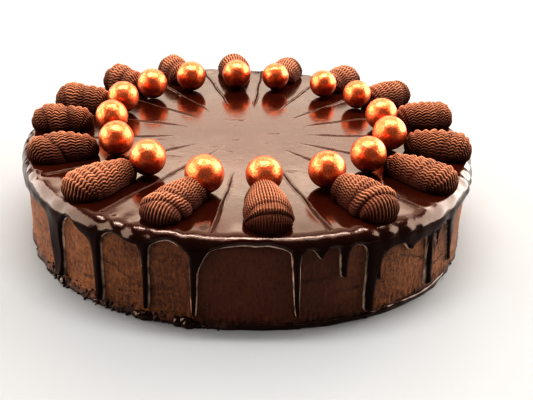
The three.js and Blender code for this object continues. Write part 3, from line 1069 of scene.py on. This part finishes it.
@dataclass
class DripGlaze:
    """The glossy coat: its top with the scored lines, its rounded edge, and its hanging border with drips.

    Below the seam the coat is thin and has the drips' duller finish.
    """

    form: CakeForm
    border: GlazeBorder
    lip: float = 1.7
    skirt: float = 0.50
    skirt_thick: float = 0.40
    seam: float = 40.8
    thin: float = 0.45
    bead: float = 0.8
    sunk: float = 0.5
    score_width: float = 0.33
    score_depth: float = 1.1
    score_outer: float = 116.5
    finest: float = 0.14
    coarsest: float = 1.0
    step: float = 0.02
    reach: int = 18
    lifts: tuple = (0.0, 0.08, 0.25, 0.5, 0.75, 1.15, 1.75, 2.5)
    beads: Ripples = Ripples(0.35, 35, 16, 60, 1.0, 5.0)
    broad_roll: Ripples = Ripples(0.42, 31, 18, 26, 1.0, 6.0)
    fine_roll: Ripples = Ripples(0.22, 33, 26, 85, 1.0, 4.0)

    def bearings(self) -> ndarray:
        """Places the columns: close together at steep parts of the border and at scored lines.

        Returns:
            The bearings in rising order.
        """
        scale = self.border.scale
        fine = np.arange(-180, 180, self.step)
        height = self.border.height(fine)
        steep = np.abs(np.diff(height, append=height[0])) / self.step / scale
        width = np.clip(0.97 / scale / np.sqrt(1 + steep**2), self.finest, self.coarsest)
        for at, _ in SCORES:
            width = np.minimum(width, 0.12 + 0.5 * smoothstep(np.abs(turn(at, fine)), 0.6, 2.0))
        window = 2 * self.reach + 1
        padded = np.pad(width, self.reach, mode="wrap")
        least = np.min(np.lib.stride_tricks.sliding_window_view(padded, window), axis=1)
        even = np.convolve(np.pad(least, self.reach, mode="wrap"), np.ones(window) / window, mode="valid")
        count = np.cumsum(self.step / even)
        whole = int(round(count[-1]))
        return np.interp(np.arange(whole) * count[-1] / whole, np.concatenate([[0], count[:-1]]), fine)

    def ways(self, start: ndarray) -> ndarray:
        """Lays the rows of points: a few that follow the border, then common levels up to the flat top.

        Args:
            start: the border's way up at each column.

        Returns:
            The way of each point, by row and column.
        """
        edge = self.form.edge
        low = start + np.array(self.lifts)[:, None]
        levels = np.concatenate([np.linspace(6, 33, 9), np.linspace(36, edge, 13)])[:, None]
        crowd = np.arange(1, levels.size + 1)[:, None]
        room = np.clip((edge - low[-1]) / levels.size, 0, 0.16)
        return np.minimum(np.concatenate([low, np.maximum(levels, low[-1] + crowd * room)]), edge)

    def distance(self, way: ndarray, bearing: ndarray) -> ndarray:
        """Gives how far points on the coat lie from its border.

        Args:
            way: the way of each point, by row and column.
            bearing: the columns' bearings.

        Returns:
            The distance of each point.
        """
        fine = np.arange(-182, 182, 0.03)
        height = self.border.height(fine)
        x = fine * self.border.scale
        length = np.concatenate([[0], np.cumsum(np.hypot(np.diff(x), np.diff(height)))])
        even = np.arange(0, length[-1], 0.2)
        tree = kdtree.KDTree(len(even))
        for k, (b, w) in enumerate(zip(np.interp(even, length, x), np.interp(even, length, height))):
            tree.insert((b, w, 0.0), k)
        tree.balance()
        wide = np.broadcast_to(bearing * self.border.scale, way.shape)
        found = [tree.find((b, w, 0.0))[2] for b, w in zip(wide.ravel(), way.ravel())]
        near = np.array(found).reshape(way.shape)
        near[0] = 0
        return near

    def thickness(
        self, way: ndarray, near: ndarray, start: ndarray, bearing: ndarray
    ) -> tuple[ndarray, ndarray]:
        """Gives how the coat stands off the cake.

        Args:
            way: the way of each point, by row and column.
            near: how far each point lies from the border.
            start: the border's way up at each column.
            bearing: the columns' bearings.

        Returns:
            How far each point is outside the cake's surface, and the part of it that is the edge's lumps.
        """
        shoulder = self.form.shoulder
        rise = np.sqrt(np.clip(1 - (1 - np.clip((near - self.skirt) / self.lip, 0, 1)) ** 2, 0, 1))
        hanging = 1 - smoothstep(way, shoulder - 7, shoulder + 4)
        low_down = smoothstep(36 - start, 2, 10) * (1 - smoothstep(way, 22, 32))
        tip = np.exp(-(((way - start - 2.2) / 2.6) ** 2))
        swell = low_down * (self.bead * tip + self.beads.at(bearing, way))
        roll = self.broad_roll.at(bearing, way) + self.fine_roll.at(bearing, way)
        roll = roll * smoothstep(way, shoulder - 9, shoulder + 2)
        full = self.form.coat - self.thin * hanging + swell + roll
        skirt = self.skirt_thick * smoothstep(near, 0, 0.25)
        offset = self.sunk * (smoothstep(near, 0, 0.08) - 1) + skirt + (full - self.skirt_thick) * rise
        return offset, roll

    def build(self) -> Object:
        """Builds the coat.

        Returns:
            The piece.
        """
        form, border = self.form, self.border
        bearing = self.bearings()
        start = border.height(bearing)
        way = self.ways(start)
        near = self.distance(way, bearing)
        offset, roll = self.thickness(way, near, start, bearing)
        side = form.walk(way, offset, border.leaned(bearing, way))
        top, scored = self.top(bearing, roll[-1])
        under_way = start + np.array([[1.6], [0.4]])
        under = form.walk(under_way, np.array([[-2.2], [-1.6]]), border.leaned(bearing, under_way))
        rings = np.concatenate([under, side, top])
        piece = closed_rings("glaze_coat", rings, (0, 0, form.shoulder), (0, 0, form.top))
        inside, blank = np.zeros(under.shape[:2]), np.zeros(near.shape)
        # Painted highlight: where the glaze's colour is paled along the border's thin rim.
        rim_highlight = 1 - smoothstep(near, self.skirt - 0.06, self.skirt + 0.14)
        ends = (0.0, 0.0)
        store(piece, "scored", np.append(np.concatenate([inside, blank, scored]), ends))
        store(piece, "rim", np.append(np.concatenate([inside, rim_highlight, np.zeros(scored.shape)]), ends))
        for finish in (
            Ganache("ganache_glaze", roughness=0.10, ior=1.45),
            Ganache("ganache_drips", roughness=0.15, ior=1.33, gloss=0.2),
        ):
            piece.data.materials.append(finish.material())
        below = (way[1:] + way[:-1]) / 2 < self.seam
        faces = np.concatenate([np.ones(inside.shape), below, np.zeros(scored.shape)]).ravel()
        slots = np.zeros(len(piece.data.polygons), dtype=np.int32)
        slots[:faces.size] = faces
        piece.data.polygons.foreach_set("material_index", slots)
        return piece

    def top(self, bearing: ndarray, roll: ndarray) -> tuple[ndarray, ndarray]:
        """Builds the rings across the top, with the scored lines pressed in.

        Args:
            bearing: the columns' bearings.
            roll: how far the rounded edge stands up or down where it meets the top.

        Returns:
            The rings' points, and how torn each is, from 0 to 1.
        """
        form = self.form
        inward = np.concatenate([np.linspace(0.8, 80, 28), np.linspace(85, 111, 4)])[:, None]
        rings = form.walk(form.edge + inward, form.coat, bearing)
        rings[..., 2] += roll * (1 - smoothstep(inward, 0, 9))
        radius = np.hypot(rings[..., 0], rings[..., 1])
        torn = np.zeros(radius.shape)
        for number, (at, start) in enumerate(SCORES):
            across = turn(at, bearing) * DEGREE * radius
            across = across + 0.30 * np.sin(radius * 0.21 + number) + 0.10 * np.sin(radius * 0.7 + number * 2)
            rough = np.sin(radius * 0.95 + number * 1.7) * np.sin(radius * 0.43 + number)
            width = self.score_width * (1 + 0.45 * rough + 0.8 * smoothstep(radius, 70, 112))
            fade = smoothstep(radius, start - 2, start + 14)
            fade = fade * (1 - smoothstep(radius, self.score_outer - 3, self.score_outer))
            groove = np.exp(-((across / width) ** 2)) * fade
            brim = np.exp(-(((np.abs(across) - 2.1 * width) / 0.45) ** 2)) * fade * (0.20 + 0.12 * rough)
            rings[..., 2] += brim - self.score_depth * groove
            torn = np.maximum(torn, smoothstep(groove, 0.02, 0.28))
        return rings, torn


# ------------------------ piped swirls


@dataclass(frozen=True)
class Fold:
    """One fold of a swirl, laid from the blunt outer end inwards.

    Its end is in millimetres along the crest. The crease after it has a depth, as a share of the swirl's
    size, and may slant across the swirl and bow. The pulse is how strong the tip's waves are on it.
    """

    end: float
    crease: float = 0.16
    slant: float = 0.0
    bow: float = 0.0
    pulse: float = 1.0
    size: float = 1.0


@dataclass(frozen=True)
class SwirlPlace:
    """A swirl's place and hand-made character.

    Its outer end lies at a bearing and a distance, and it is turned by some degrees from there. The tail is
    the inner end's share of the width. The wave is the length of a pulse, and the lean how pulses slant.
    """

    bearing: float
    outer: float
    length: float
    width: float
    height: float
    tail: float
    turned: float
    wave: float
    wave_height: float
    lean: float
    folds: tuple[Fold, ...]
    ridges: int = 22
    ridge_height: float = 0.85


SWIRLS = (
    SwirlPlace(
        5.1, 114.8, 33.6, 23.0, 14.6, 0.86, -1.5, 2.6, 0.58, 0.0,
        (Fold(11, 0.10, 0, 0, 0.1), Fold(16.5, 0.11, 0, 0, 0.5), Fold(38, 0.05, 0, 1, 0.9), Fold(60)),
        32, 0.70,
    ),
    SwirlPlace(
        31.5, 118.0, 35.8, 23.4, 14.2, 0.70, -8.5, 3.1, 0.5, 1.0,
        (Fold(15, 0.15, -5, 2, 0.2), Fold(21.5, 0.13, -5, 2, 0.4), Fold(60, 0.1, 0, 0, 1.1)),
        25, 0.85,
    ),
    SwirlPlace(56.9, 119.6, 39, 24, 11.6, 0.66, 5, 4.3, 0.55, -1.5, (Fold(21, 0.10, -6, 2, 0.9), Fold(60))),
    SwirlPlace(77.8, 119.4, 35.5, 22.2, 13.0, 0.73, 0.5, 4.2, 0.58, -1.0, (Fold(20, 0.06, -4, 2), Fold(60))),
    SwirlPlace(101.8, 118.8, 34, 22.2, 13.2, 0.83, 2.5, 4.2, 0.58, 0.0, (Fold(20, 0.05), Fold(60))),
    SwirlPlace(124.4, 117.8, 32.7, 22.4, 12.6, 0.84, 2.5, 4.0, 0.5, 0.0, (Fold(17, 0.09, 3), Fold(60))),
    SwirlPlace(
        145.3, 117.2, 31.7, 21.8, 13.2, 0.83, 3, 4.6, 0.45, 0.0,
        (Fold(15, 0.12, 3), Fold(33, 0.1), Fold(60)),
    ),
    SwirlPlace(166.7, 116.0, 30.9, 21.6, 13.2, 0.81, 1, 4.6, 0.45, 0.0, (Fold(16, 0.14, -3), Fold(60))),
    SwirlPlace(185.9, 116.6, 30, 22.8, 13.9, 0.79, -2, 4.6, 0.45, 0.0, (Fold(15, 0.14, 2), Fold(60))),
    SwirlPlace(
        207.9, 118.2, 30.8, 20.8, 14.7, 0.82, 0, 4.6, 0.45, 0.5,
        (Fold(16, 0.14, 4), Fold(31, 0.1), Fold(60)),
    ),
    SwirlPlace(
        228.7, 118.4, 31.3, 20.8, 14.9, 0.81, -3, 4.8, 0.45, 1.0,
        (Fold(15, 0.14, 3), Fold(29, 0.12), Fold(60)),
    ),
    SwirlPlace(
        251.0, 118.6, 34.2, 21.2, 14.5, 0.84, -5, 4.8, 0.45, 1.0,
        (Fold(15, 0.13, 4), Fold(28, 0.12, 2), Fold(60)),
    ),
    SwirlPlace(
        268.3, 118.8, 33.8, 21.8, 12.6, 0.81, -1, 4.2, 0.5, 1.5,
        (Fold(14, 0.13, 5, 2), Fold(28, 0.12, 3, 1), Fold(60)),
    ),
    SwirlPlace(
        292.0, 118.1, 35.7, 22.0, 12.8, 0.64, 10, 4.2, 0.55, 2.0,
        (Fold(19, 0.20, 7, 3, 0.6), Fold(60, 0.1, 0, 0, 0.8, 1.04)),
    ),
    SwirlPlace(316.3, 118.2, 39.1, 23.4, 11.8, 0.68, -0.5, 4.5, 0.58, -2.4, (Fold(60, 0.05),)),
    SwirlPlace(
        340.9, 115.9, 37.4, 22.2, 12.2, 0.79, 14, 3.4, 0.5, 1.0,
        (Fold(13, 0.14, 6, 2, 0.3), Fold(20.5, 0.17, 7, 2, 0.5), Fold(60, 0.1)),
        25, 0.85,
    ),
)


@dataclass
class PipedSwirl:
    """One piped swirl: folds laid inwards to its ball, pressed into ridges by a toothed tip."""

    place: SwirlPlace
    number: int
    form: CakeForm
    sink: float = 0.15
    nose: float = 10.5
    back: float = 8.0
    blunt: float = 0.78
    back_blunt: float = 0.9
    tuck: float = 0.17
    tuck_height: float = 5.0
    across: int = 221
    samples: int = 200
    spacing: float = 0.40
    fold_shift: float = 2.1

    def spine(self) -> tuple[ndarray, ...]:
        """Lays out the swirl's crest and the base line that each section springs from.

        Returns:
            For each section: the way along the crest, the crest's place and height, the base's place, and the
            half width.
        """
        place = self.place
        nose_lean = np.radians(np.linspace(0, 90, self.samples, endpoint=False))
        back_lean = np.radians(np.linspace(90, 0, self.samples))
        share = np.linspace(0, 1, self.samples, endpoint=False)
        drop = 0.55 * (1 - place.tail) * smoothstep(share, 0.45, 1.25)
        height = place.height * (1 - drop)
        half = place.width / 2 * (0.97 + 0.03 * np.sin(share * math.pi))
        half = half * (1 - (1 - place.tail) * smoothstep(share, 0.15, 1.0))
        nose_at = place.length - self.nose
        base = nose_at + (self.back - nose_at) * share
        crest_y = np.concatenate([
            nose_at + self.nose * np.cos(nose_lean) ** self.blunt,
            base,
            self.back - self.back * np.cos(back_lean) ** self.back_blunt,
        ])
        crest_z = np.concatenate([
            height[0] * np.sin(nose_lean) ** self.blunt,
            height,
            height[-1] * np.sin(back_lean) ** self.back_blunt,
        ])
        base_y = np.pad(base, self.samples, constant_values=(nose_at, self.back))
        half_all = np.pad(half, self.samples, mode="edge")
        way = np.concatenate([[0], np.cumsum(np.hypot(np.diff(crest_y), np.diff(crest_z)))])
        even = np.linspace(0, way[-1], int(way[-1] / self.spacing))
        return (even, *(np.interp(even, way, line) for line in (crest_y, crest_z, base_y, half_all)))

    def folded(self, way: ndarray, theta: ndarray) -> tuple[ndarray, ...]:
        """Gives how the folds swell and pinch the swirl.

        Args:
            way: the way along the crest.
            theta: the angle across, from one base edge over the top to the other.

        Returns:
            At each point: the size, how deep in a crease it is, how strong its pulses are, and its fold's
            number.
        """
        size, crease, pulse, index = np.ones(way.shape), 0.0, 1.0, 0
        start, start_depth = -self.place.folds[0].end, 0.0
        last = self.place.folds[-1]
        for number, fold in enumerate(self.place.folds):
            end = fold.end + fold.slant * np.cos(theta) + fold.bow * (1 - np.sin(theta))
            q = (way - start) / (end - start)
            here = (q >= 0) & (q < 1)
            bulge = (4 * np.clip(q * (1 - q), 0, 1)) ** 0.42
            depth = start_depth * (1 - q) + (0 if fold is last else fold.crease) * q
            size = np.where(here, fold.size * (1 - depth * (1 - bulge)), size)
            crease = np.where(here, (1 - bulge) * np.clip(depth / 0.12, 0, 1), crease)
            pulse = np.where(here, fold.pulse, pulse)
            index = np.where(here, number, index)
            start, start_depth = end, fold.crease
        return size, crease, pulse, index

    def laid(self, x: ndarray, y: ndarray, z: ndarray) -> ndarray:
        """Lays the swirl's points on the cake, turned, and let down where the glaze's edge falls away.

        Args:
            x: the way across the swirl.
            y: the way along it, from its inner end.
            z: the height over its base.

        Returns:
            The points.
        """
        place, form = self.place, self.form
        bearing, swing = place.bearing * DEGREE, place.turned * DEGREE
        middle = place.length * 0.45
        y = y - middle
        sideways = x * math.cos(swing) - y * math.sin(swing)
        outward = x * math.sin(swing) + y * math.cos(swing) + middle + place.outer - place.length
        flat_x = sideways * math.cos(bearing) + outward * math.sin(bearing)
        flat_y = sideways * math.sin(bearing) - outward * math.cos(bearing)
        past = np.clip(np.hypot(flat_x, flat_y) - form.radius + form.edge_round, 0, form.coat_round)
        fall = form.coat_round - np.sqrt(form.coat_round**2 - past**2)
        height = form.top - self.sink + z - fall * np.clip(1 - z / place.height, 0, 1)
        return np.stack([flat_x, flat_y, height], axis=-1)

    def build(self, tree: NodeTree, material: Material) -> Object:
        """Builds the swirl, its ridges pressed by the ridge tree.

        Args:
            tree: the ridge tree.
            material: the piped cream.

        Returns:
            The piece.
        """
        place = self.place
        way, crest_y, crest_z, base_y, half = (line[:, None] for line in self.spine())
        u = np.linspace(0, 1, self.across)[None, :]
        theta = math.pi * (u - 0.03 * np.sin(2 * math.pi * u))
        size, crease, pulse, index = self.folded(*np.broadcast_arrays(way, theta))
        z = crest_z * np.sin(theta) * size
        size = size * (1 - self.tuck * np.clip(1 - z / self.tuck_height, 0, 1) ** 2)
        x = half * np.cos(theta) * size
        y = base_y + (crest_y - base_y) * np.sin(theta) * size
        points = self.laid(x, y, z).reshape(-1, 3)
        piece = mesh_piece(f"swirl_{self.number:02d}_piped", points, quads_of_grid(*x.shape, False))
        store(piece, "across", np.broadcast_to(u, x.shape))
        store(piece, "along", way + index * self.fold_shift)
        store(piece, "pulse", pulse)
        store(piece, "crease", crease)
        store(piece, "lift", z / place.height)
        close_up(piece)
        piece.data.materials.append(material)
        random = np.random.default_rng(40 + self.number)
        return grow(piece, tree, {
            "Ridges": float(place.ridges), "Ridge Height": place.ridge_height * MM, "Wave Length": place.wave,
            "Wave Height": place.wave_height * MM, "Lean": place.lean, "Phase": float(random.uniform(0, 1)),
        })


def ridge_tree(material: Material) -> NodeTree:
    """Builds the tree that presses a toothed tip's ridges and pulses into a smooth swirl.

    Args:
        material: what the result is made of.

    Returns:
        The tree.
    """
    sizes = ("Ridges", "Ridge Height", "Wave Length", "Wave Height", "Lean", "Phase")
    sheet = GrowthTree("piped_ridges", material, {"Geometry": "Geometry", **dict.fromkeys(sizes, "Float")})
    geometry, ridges, ridge_height, wave_length, wave_height, lean, start = sheet.given
    lift, crease = sheet.named("lift"), sheet.named("crease")
    wobble = sheet.noise(sheet.place, Noise(150.0, 2.0)) - 0.5
    phase = (lift * lean + sheet.named("along")) / wave_length + start + wobble * 1.1
    beat = (phase.arch() * 2.0 - 1.25) * wave_height * sheet.named("pulse")
    crest = (sheet.named("across") * ridges + wobble * 0.35).arch() ** 1.2
    out = (crest - 0.75) * ridge_height + beat * 0.22
    out = out * lift.span(0.0, 0.05) * crease.span(0.1, 0.8, 1.0, 0.35)
    rise = beat * lift.span(0.0, 0.4, 0.3, 1.0) * lift.span(0.0, 0.1)
    move = sheet.vector_sum(sheet.scaled(sheet.normal, out), sheet.upright(rise))
    kept = {"Geometry": sheet.moved(geometry, Offset=move), "Name": "crest", "Value": crest}
    return sheet.close(sheet.read("GeometryNodeStoreNamedAttribute", kept, data_type="FLOAT"))


# ------------------------ lustre balls


@dataclass
class LustreBall:
    """One chocolate ball, a little uneven, rubbed with copper lustre."""

    number: int
    dent: float = 0.22

    def build(self, tree: NodeTree) -> Object:
        """Builds the ball where its node lies.

        Args:
            tree: the ball tree.

        Returns:
            The piece.
        """
        low, high = (Vector(corner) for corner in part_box(f"ball_{self.number:02d}"))
        random = np.random.default_rng(70 + self.number)
        return grow(mesh_piece(f"ball_{self.number:02d}_lustre", np.zeros((0, 3))), tree, {
            "Centre": tuple((low + high) / 2), "Radius": (high - low).z / 2, "Dent": self.dent * MM,
            "Seed": float(random.uniform(0, 50)),
        })


def ball_tree(material: Material) -> NodeTree:
    """Builds the tree that makes an uneven ball.

    Args:
        material: what the ball is finished with.

    Returns:
        The tree.
    """
    inputs = {"Centre": "Vector", "Radius": "Float", "Dent": "Float", "Seed": "Float"}
    sheet = GrowthTree("lustre_ball", material, inputs)
    centre, radius, dent, seed = sheet.given
    values = {"Vector": sheet.place, "W": seed, "Scale": 2.3, "Detail": 2.0}
    dents = sheet.read("ShaderNodeTexNoise", values, noise_dimensions="4D") - 0.58
    to = sheet.vector_sum(sheet.scaled(sheet.place, radius + dents * dent * 2.0), centre)
    return sheet.close(sheet.moved(sheet.ball(6), Position=to))


# ------------------------ crumbs and pools at the foot


# The pools under the drips in front: bearing, how far out, half width and height.
POOLS = (
    (-49, 1.6, 3.2, 2.2), (-46.8, 2.4, 3.4, 2.6), (-34.5, 2.0, 3.0, 2.2), (-32.2, 1.6, 2.4, 1.8),
    (-24.0, 2.6, 3.6, 3.4), (-22.0, 3.0, 5.6, 4.4), (-19.6, 1.6, 2.6, 2.4), (-14.6, 3.4, 3.4, 4.2),
    (-12.6, 3.6, 5.6, 4.6), (-10.6, 2.0, 4.6, 3.2), (9.6, 1.8, 2.6, 2.0), (11.2, 1.8, 3.4, 2.4),
    (27.8, 1.8, 2.8, 2.4), (44.6, 1.6, 2.6, 2.0),
)


def scatter_tree(name: str, material: Material, detail: int, lump: float) -> NodeTree:
    """Builds the tree that puts an uneven lump on each point of a mesh.

    Args:
        name: the tree's name.
        material: what the lumps are made of.
        detail: how finely a lump is divided.
        lump: how uneven a lump is, as a share of its size.

    Returns:
        The tree.
    """
    sheet = GrowthTree(name, material, {"Geometry": "Geometry", "Seed": "Int"})
    points, seed = sheet.given
    values = {"Min": (-lump,) * 3, "Max": (lump,) * 3, "Seed": seed}
    tilt = sheet.read("FunctionNodeRandomValue", values, data_type="FLOAT_VECTOR")
    values = {
        "Points": points, "Instance": sheet.ball(detail),
        "Rotation": sheet.vector_sum(tilt, sheet.upright(sheet.named("facing"))),
        "Scale": sheet.named("size", "FLOAT_VECTOR"),
    }
    lumps = sheet.realized(sheet.read("GeometryNodeInstanceOnPoints", values))
    push = (sheet.noise(sheet.place, Noise(420.0, 2.0)) - 0.5) * (2.2 * lump * MM)
    return sheet.close(sheet.moved(lumps, Offset=sheet.scaled(sheet.normal, push)))


def scatter(name: str, points: ndarray, sizes: ndarray, facing: ndarray, tree: NodeTree) -> Object:
    """Puts lumps on points.

    Args:
        name: the piece's name.
        points: where the lumps lie, in millimetres.
        sizes: the half lengths of each lump, in millimetres.
        facing: how each lump is turned, in degrees.
        tree: the scatter tree.

    Returns:
        The piece.
    """
    piece = mesh_piece(name, points)
    store(piece, "size", sizes * MM, "FLOAT_VECTOR")
    store(piece, "facing", np.radians(facing))
    vertices = grow(piece, tree, {}).data.vertices
    places = np.empty(len(vertices) * 3)
    vertices.foreach_get("co", places)
    places[2::3] = np.maximum(places[2::3], 0)
    vertices.foreach_set("co", places)
    piece.data.update()
    return piece


@dataclass
class FootTrim:
    """What lies along the foot: pools under the drips, a thin run of glaze, and crumbs of buttercream."""

    form: CakeForm
    seed: int = 3
    left_crumbs: int = 1500
    other_crumbs: int = 600
    run_from: float = -4.0
    run_to: float = 56.0
    run_columns: int = 420
    run_sides: int = 14
    run_swell: Ripples = Ripples(0.35, 51, 18, 90)
    run_climb: Ripples = Ripples(0.5, 52, 12, 40)

    def at_foot(self, bearing: ndarray) -> ndarray:
        """Gives the distance of the foot from the axis."""
        return self.form.radius + self.form.uneven(bearing)

    def pools(self, glaze: Material) -> Object:
        """Builds the pools where drips reached the foot.

        Args:
            glaze: the ganache.

        Returns:
            The piece.
        """
        bearing, out, half, high = np.array(POOLS).T
        points = polar(bearing, self.at_foot(bearing), high * 0.25)
        sizes = np.stack([half * 0.8, out * 0.8, high * 0.7], axis=-1)
        return scatter("glaze_pools", points, sizes, bearing, scatter_tree("pool_scatter", glaze, 5, 0.55))

    def run(self, glaze: Material) -> Object:
        """Builds the thin run of glaze along the foot in front and on the right.

        Args:
            glaze: the ganache.

        Returns:
            The piece.
        """
        bearing = np.linspace(self.run_from, self.run_to, self.run_columns)[:, None]
        share = np.linspace(0, 1, self.run_columns)[:, None]
        taper = np.clip(np.sin(math.pi * share), 0, 1) ** 0.35
        thick = 0.95 * (1 + self.run_swell.at(bearing)) * taper + 1e-3
        angle = np.linspace(0, 2 * math.pi, self.run_sides, endpoint=False)
        middle = self.at_foot(bearing) + 0.35
        rise = 1.5 + self.run_climb.at(bearing)
        height = np.clip(rise + 1.35 * thick * np.sin(angle), 0.05, None)
        points = polar(bearing, middle + 1.1 * thick * np.cos(angle), height)
        first, last = polar(bearing, middle, rise)[[0, -1], 0]
        piece = closed_rings("glaze_foot_run", points, first, last)
        close_up(piece)
        piece.data.materials.append(glaze)
        return piece

    def crumbs(self, cream: Material) -> Object:
        """Builds the crumbs.

        Args:
            cream: the buttercream.

        Returns:
            The piece.
        """
        random = np.random.default_rng(self.seed)
        left = random.uniform(-54, -6, self.left_crumbs)
        rest = random.uniform(-6, 300, self.other_crumbs)
        bearing = np.concatenate([left, rest])
        bearing = bearing + 1.5 * np.sin(bearing * 1.9)
        left_size = 0.2 + 0.8 * random.power(0.35, left.size)
        size = np.concatenate([left_size, 0.15 + 0.35 * random.power(0.5, rest.size)])
        climb = random.random(bearing.size) < 0.45
        out = np.where(climb, -0.1, 0.1 + random.exponential(0.35, bearing.size))
        z = np.where(climb, random.exponential(1.8, bearing.size), size * 0.4)
        points = polar(bearing, self.at_foot(bearing) + np.minimum(out, 2.2), z)
        sizes = size[:, None] * random.uniform(0.65, 1.3, (bearing.size, 3))
        facing = random.uniform(0, 360, bearing.size)
        return scatter("cake_crumbs", points, sizes, facing, scatter_tree("crumb_scatter", cream, 1, 0.9))


# ------------------------ studio


WHITE = (1.0, 1.0, 1.0)
CREAM = (1.0, 0.94, 0.88)
WARM = (1.0, 0.84, 0.70)


@dataclass(frozen=True)
class Softbox:
    """One soft light: where it hangs, what it looks at, its size and how bright its face is."""

    name: str
    place: tuple[float, float, float]
    width: float
    height: float
    radiance: float
    colour: tuple[float, float, float] = WHITE
    aim: tuple[float, float, float] = (0.0, 0.0, 0.03)

    def hang(self) -> None:
        """Hangs the light."""
        light = bpy.data.lights.new(self.name, "AREA")
        light.shape = "RECTANGLE"
        light.size, light.size_y = self.width, self.height
        light.energy = self.radiance * math.pi * self.width * self.height
        light.color = self.colour
        lamp = bpy.data.objects.new(self.name, light)
        lamp.location = self.place
        way = Vector(self.aim) - Vector(self.place)
        lamp.rotation_euler = way.to_track_quat("-Z", "Y").to_euler()
        bpy.context.collection.objects.link(lamp)


@dataclass
class Studio:
    """The pale floor, the soft lights and the camera, whose focal length and frame width are in pixels."""

    distance: float = 0.4524
    elevation: float = 27.50
    pan: float = -1.40
    pitch: float = 0.60
    roll: float = -1.34
    focal: float = 785.6
    frame_width: float = 533.0
    sensor: float = 36.0
    boxes: tuple[Softbox, ...] = (
        Softbox("back_high", (0.0, 1.5, 0.985), 2.8, 0.44, 3.2, WARM),
        Softbox("back_middle", (0.0, 1.5, 0.67), 2.8, 0.28, 2.2, WARM),
        Softbox("back_low", (0.0, 1.5, 0.40), 2.6, 0.29, 1.5, WARM),
        Softbox("upper_back", (0.0, 0.92, 1.25), 1.8, 0.62, 1.8, WARM),
        Softbox("overhead", (0.0, 0.08, 1.5), 1.7, 0.75, 4.0),
        Softbox("strip", (0.0, 0.16, 1.49), 1.5, 0.15, 28.0),
        Softbox("left_softbox", (-1.35, 0.10, 0.56), 2.0, 1.2, 5.5, CREAM),
        Softbox("right_softbox", (1.30, 0.46, 0.56), 1.8, 1.2, 7.2, CREAM),
    )
    ambient: float = 0.08
    look: str = "High Contrast"
    floor_side: float = 6000.0
    floor_drop: float = 0.05

    def build(self) -> None:
        """Builds the whole studio."""
        self.lay_floor()
        for box in self.boxes:
            box.hang()
        world = bpy.data.worlds.new("studio_air")
        world.use_nodes = True
        air = world.node_tree.nodes["Background"]
        air.inputs["Color"].default_value = (*WHITE, 1.0)
        air.inputs["Strength"].default_value = self.ambient
        scene = bpy.context.scene
        scene.world = world
        scene.view_settings.view_transform = "Standard"
        scene.view_settings.look = self.look
        self.set_camera()

    def lay_floor(self) -> None:
        """Lays the floor."""
        steps = np.linspace(-self.floor_side, self.floor_side, 5)
        x, y = np.meshgrid(steps, steps)
        points = np.stack([x, y, np.full_like(x, -self.floor_drop)], axis=-1).reshape(-1, 3)
        floor = mesh_piece("pale_floor", points, quads_of_grid(*x.shape, False))
        floor.data.materials.append(PaleFloor("pale_floor", roughness=0.6).material())

    def set_camera(self) -> None:
        """Places the camera and turns it by its pan, pitch and roll."""
        e = self.elevation * DEGREE
        ahead = Vector((0, math.cos(e), -math.sin(e)))
        right = Vector((1, 0, 0))
        up = right.cross(ahead)
        swing = Matrix.Rotation(self.pan * DEGREE, 3, up)
        ahead, right = swing @ ahead, swing @ right
        tilt = Matrix.Rotation(self.pitch * DEGREE, 3, right)
        ahead, up = tilt @ ahead, tilt @ up
        level = Matrix.Rotation(self.roll * DEGREE, 3, ahead)
        right, up = level @ right, level @ up
        data = bpy.data.cameras.new("view_camera")
        data.sensor_width = self.sensor
        data.lens = self.focal / self.frame_width * self.sensor
        data.clip_start = 0.01
        camera = bpy.data.objects.new("view_camera", data)
        turned = Matrix((right, up, -ahead)).transposed().to_4x4()
        away = Vector((0, -math.cos(e), math.sin(e))) * self.distance
        camera.matrix_world = Matrix.Translation(away) @ turned
        bpy.context.collection.objects.link(camera)
        bpy.context.scene.camera = camera


def main() -> None:
    """Builds the torte and its studio in order."""
    logging.basicConfig(level=logging.INFO, format="%(message)s")
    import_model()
    form = CakeForm()
    hand_over(ButtercreamCake(form).build(), Slot.BUTTERCREAM, "cake_body")
    hand_over(DripGlaze(form, GlazeBorder()).build(), Slot.GANACHE, "glaze")
    cream = PipedCream("piped_ganache", roughness=0.68, ior=1.4).material()
    ridges = ridge_tree(cream)
    for number, place in enumerate(SWIRLS, start=1):
        hand_over(PipedSwirl(place, number, form).build(ridges, cream), Slot.PIPED, f"swirl_{number:02d}")
    balls = ball_tree(Lustre("copper_lustre", roughness=0.30, metallic=0.85).material())
    for number in range(1, len(SWIRLS) + 1):
        hand_over(LustreBall(number).build(balls), Slot.LUSTRE, f"ball_{number:02d}")
    trim = FootTrim(form)
    glaze = bpy.data.materials["ganache_glaze"]
    hand_over(trim.pools(glaze), Slot.GANACHE)
    hand_over(trim.run(glaze), Slot.GANACHE)
    crumb = Buttercream("cake_crumb", roughness=0.6, dark=(0.018, 0.004, 0.002), light=(0.075, 0.02, 0.008))
    hand_over(trim.crumbs(crumb.material()), Slot.BUTTERCREAM)
    Studio().build()


if __name__ == "__main__":
    main()
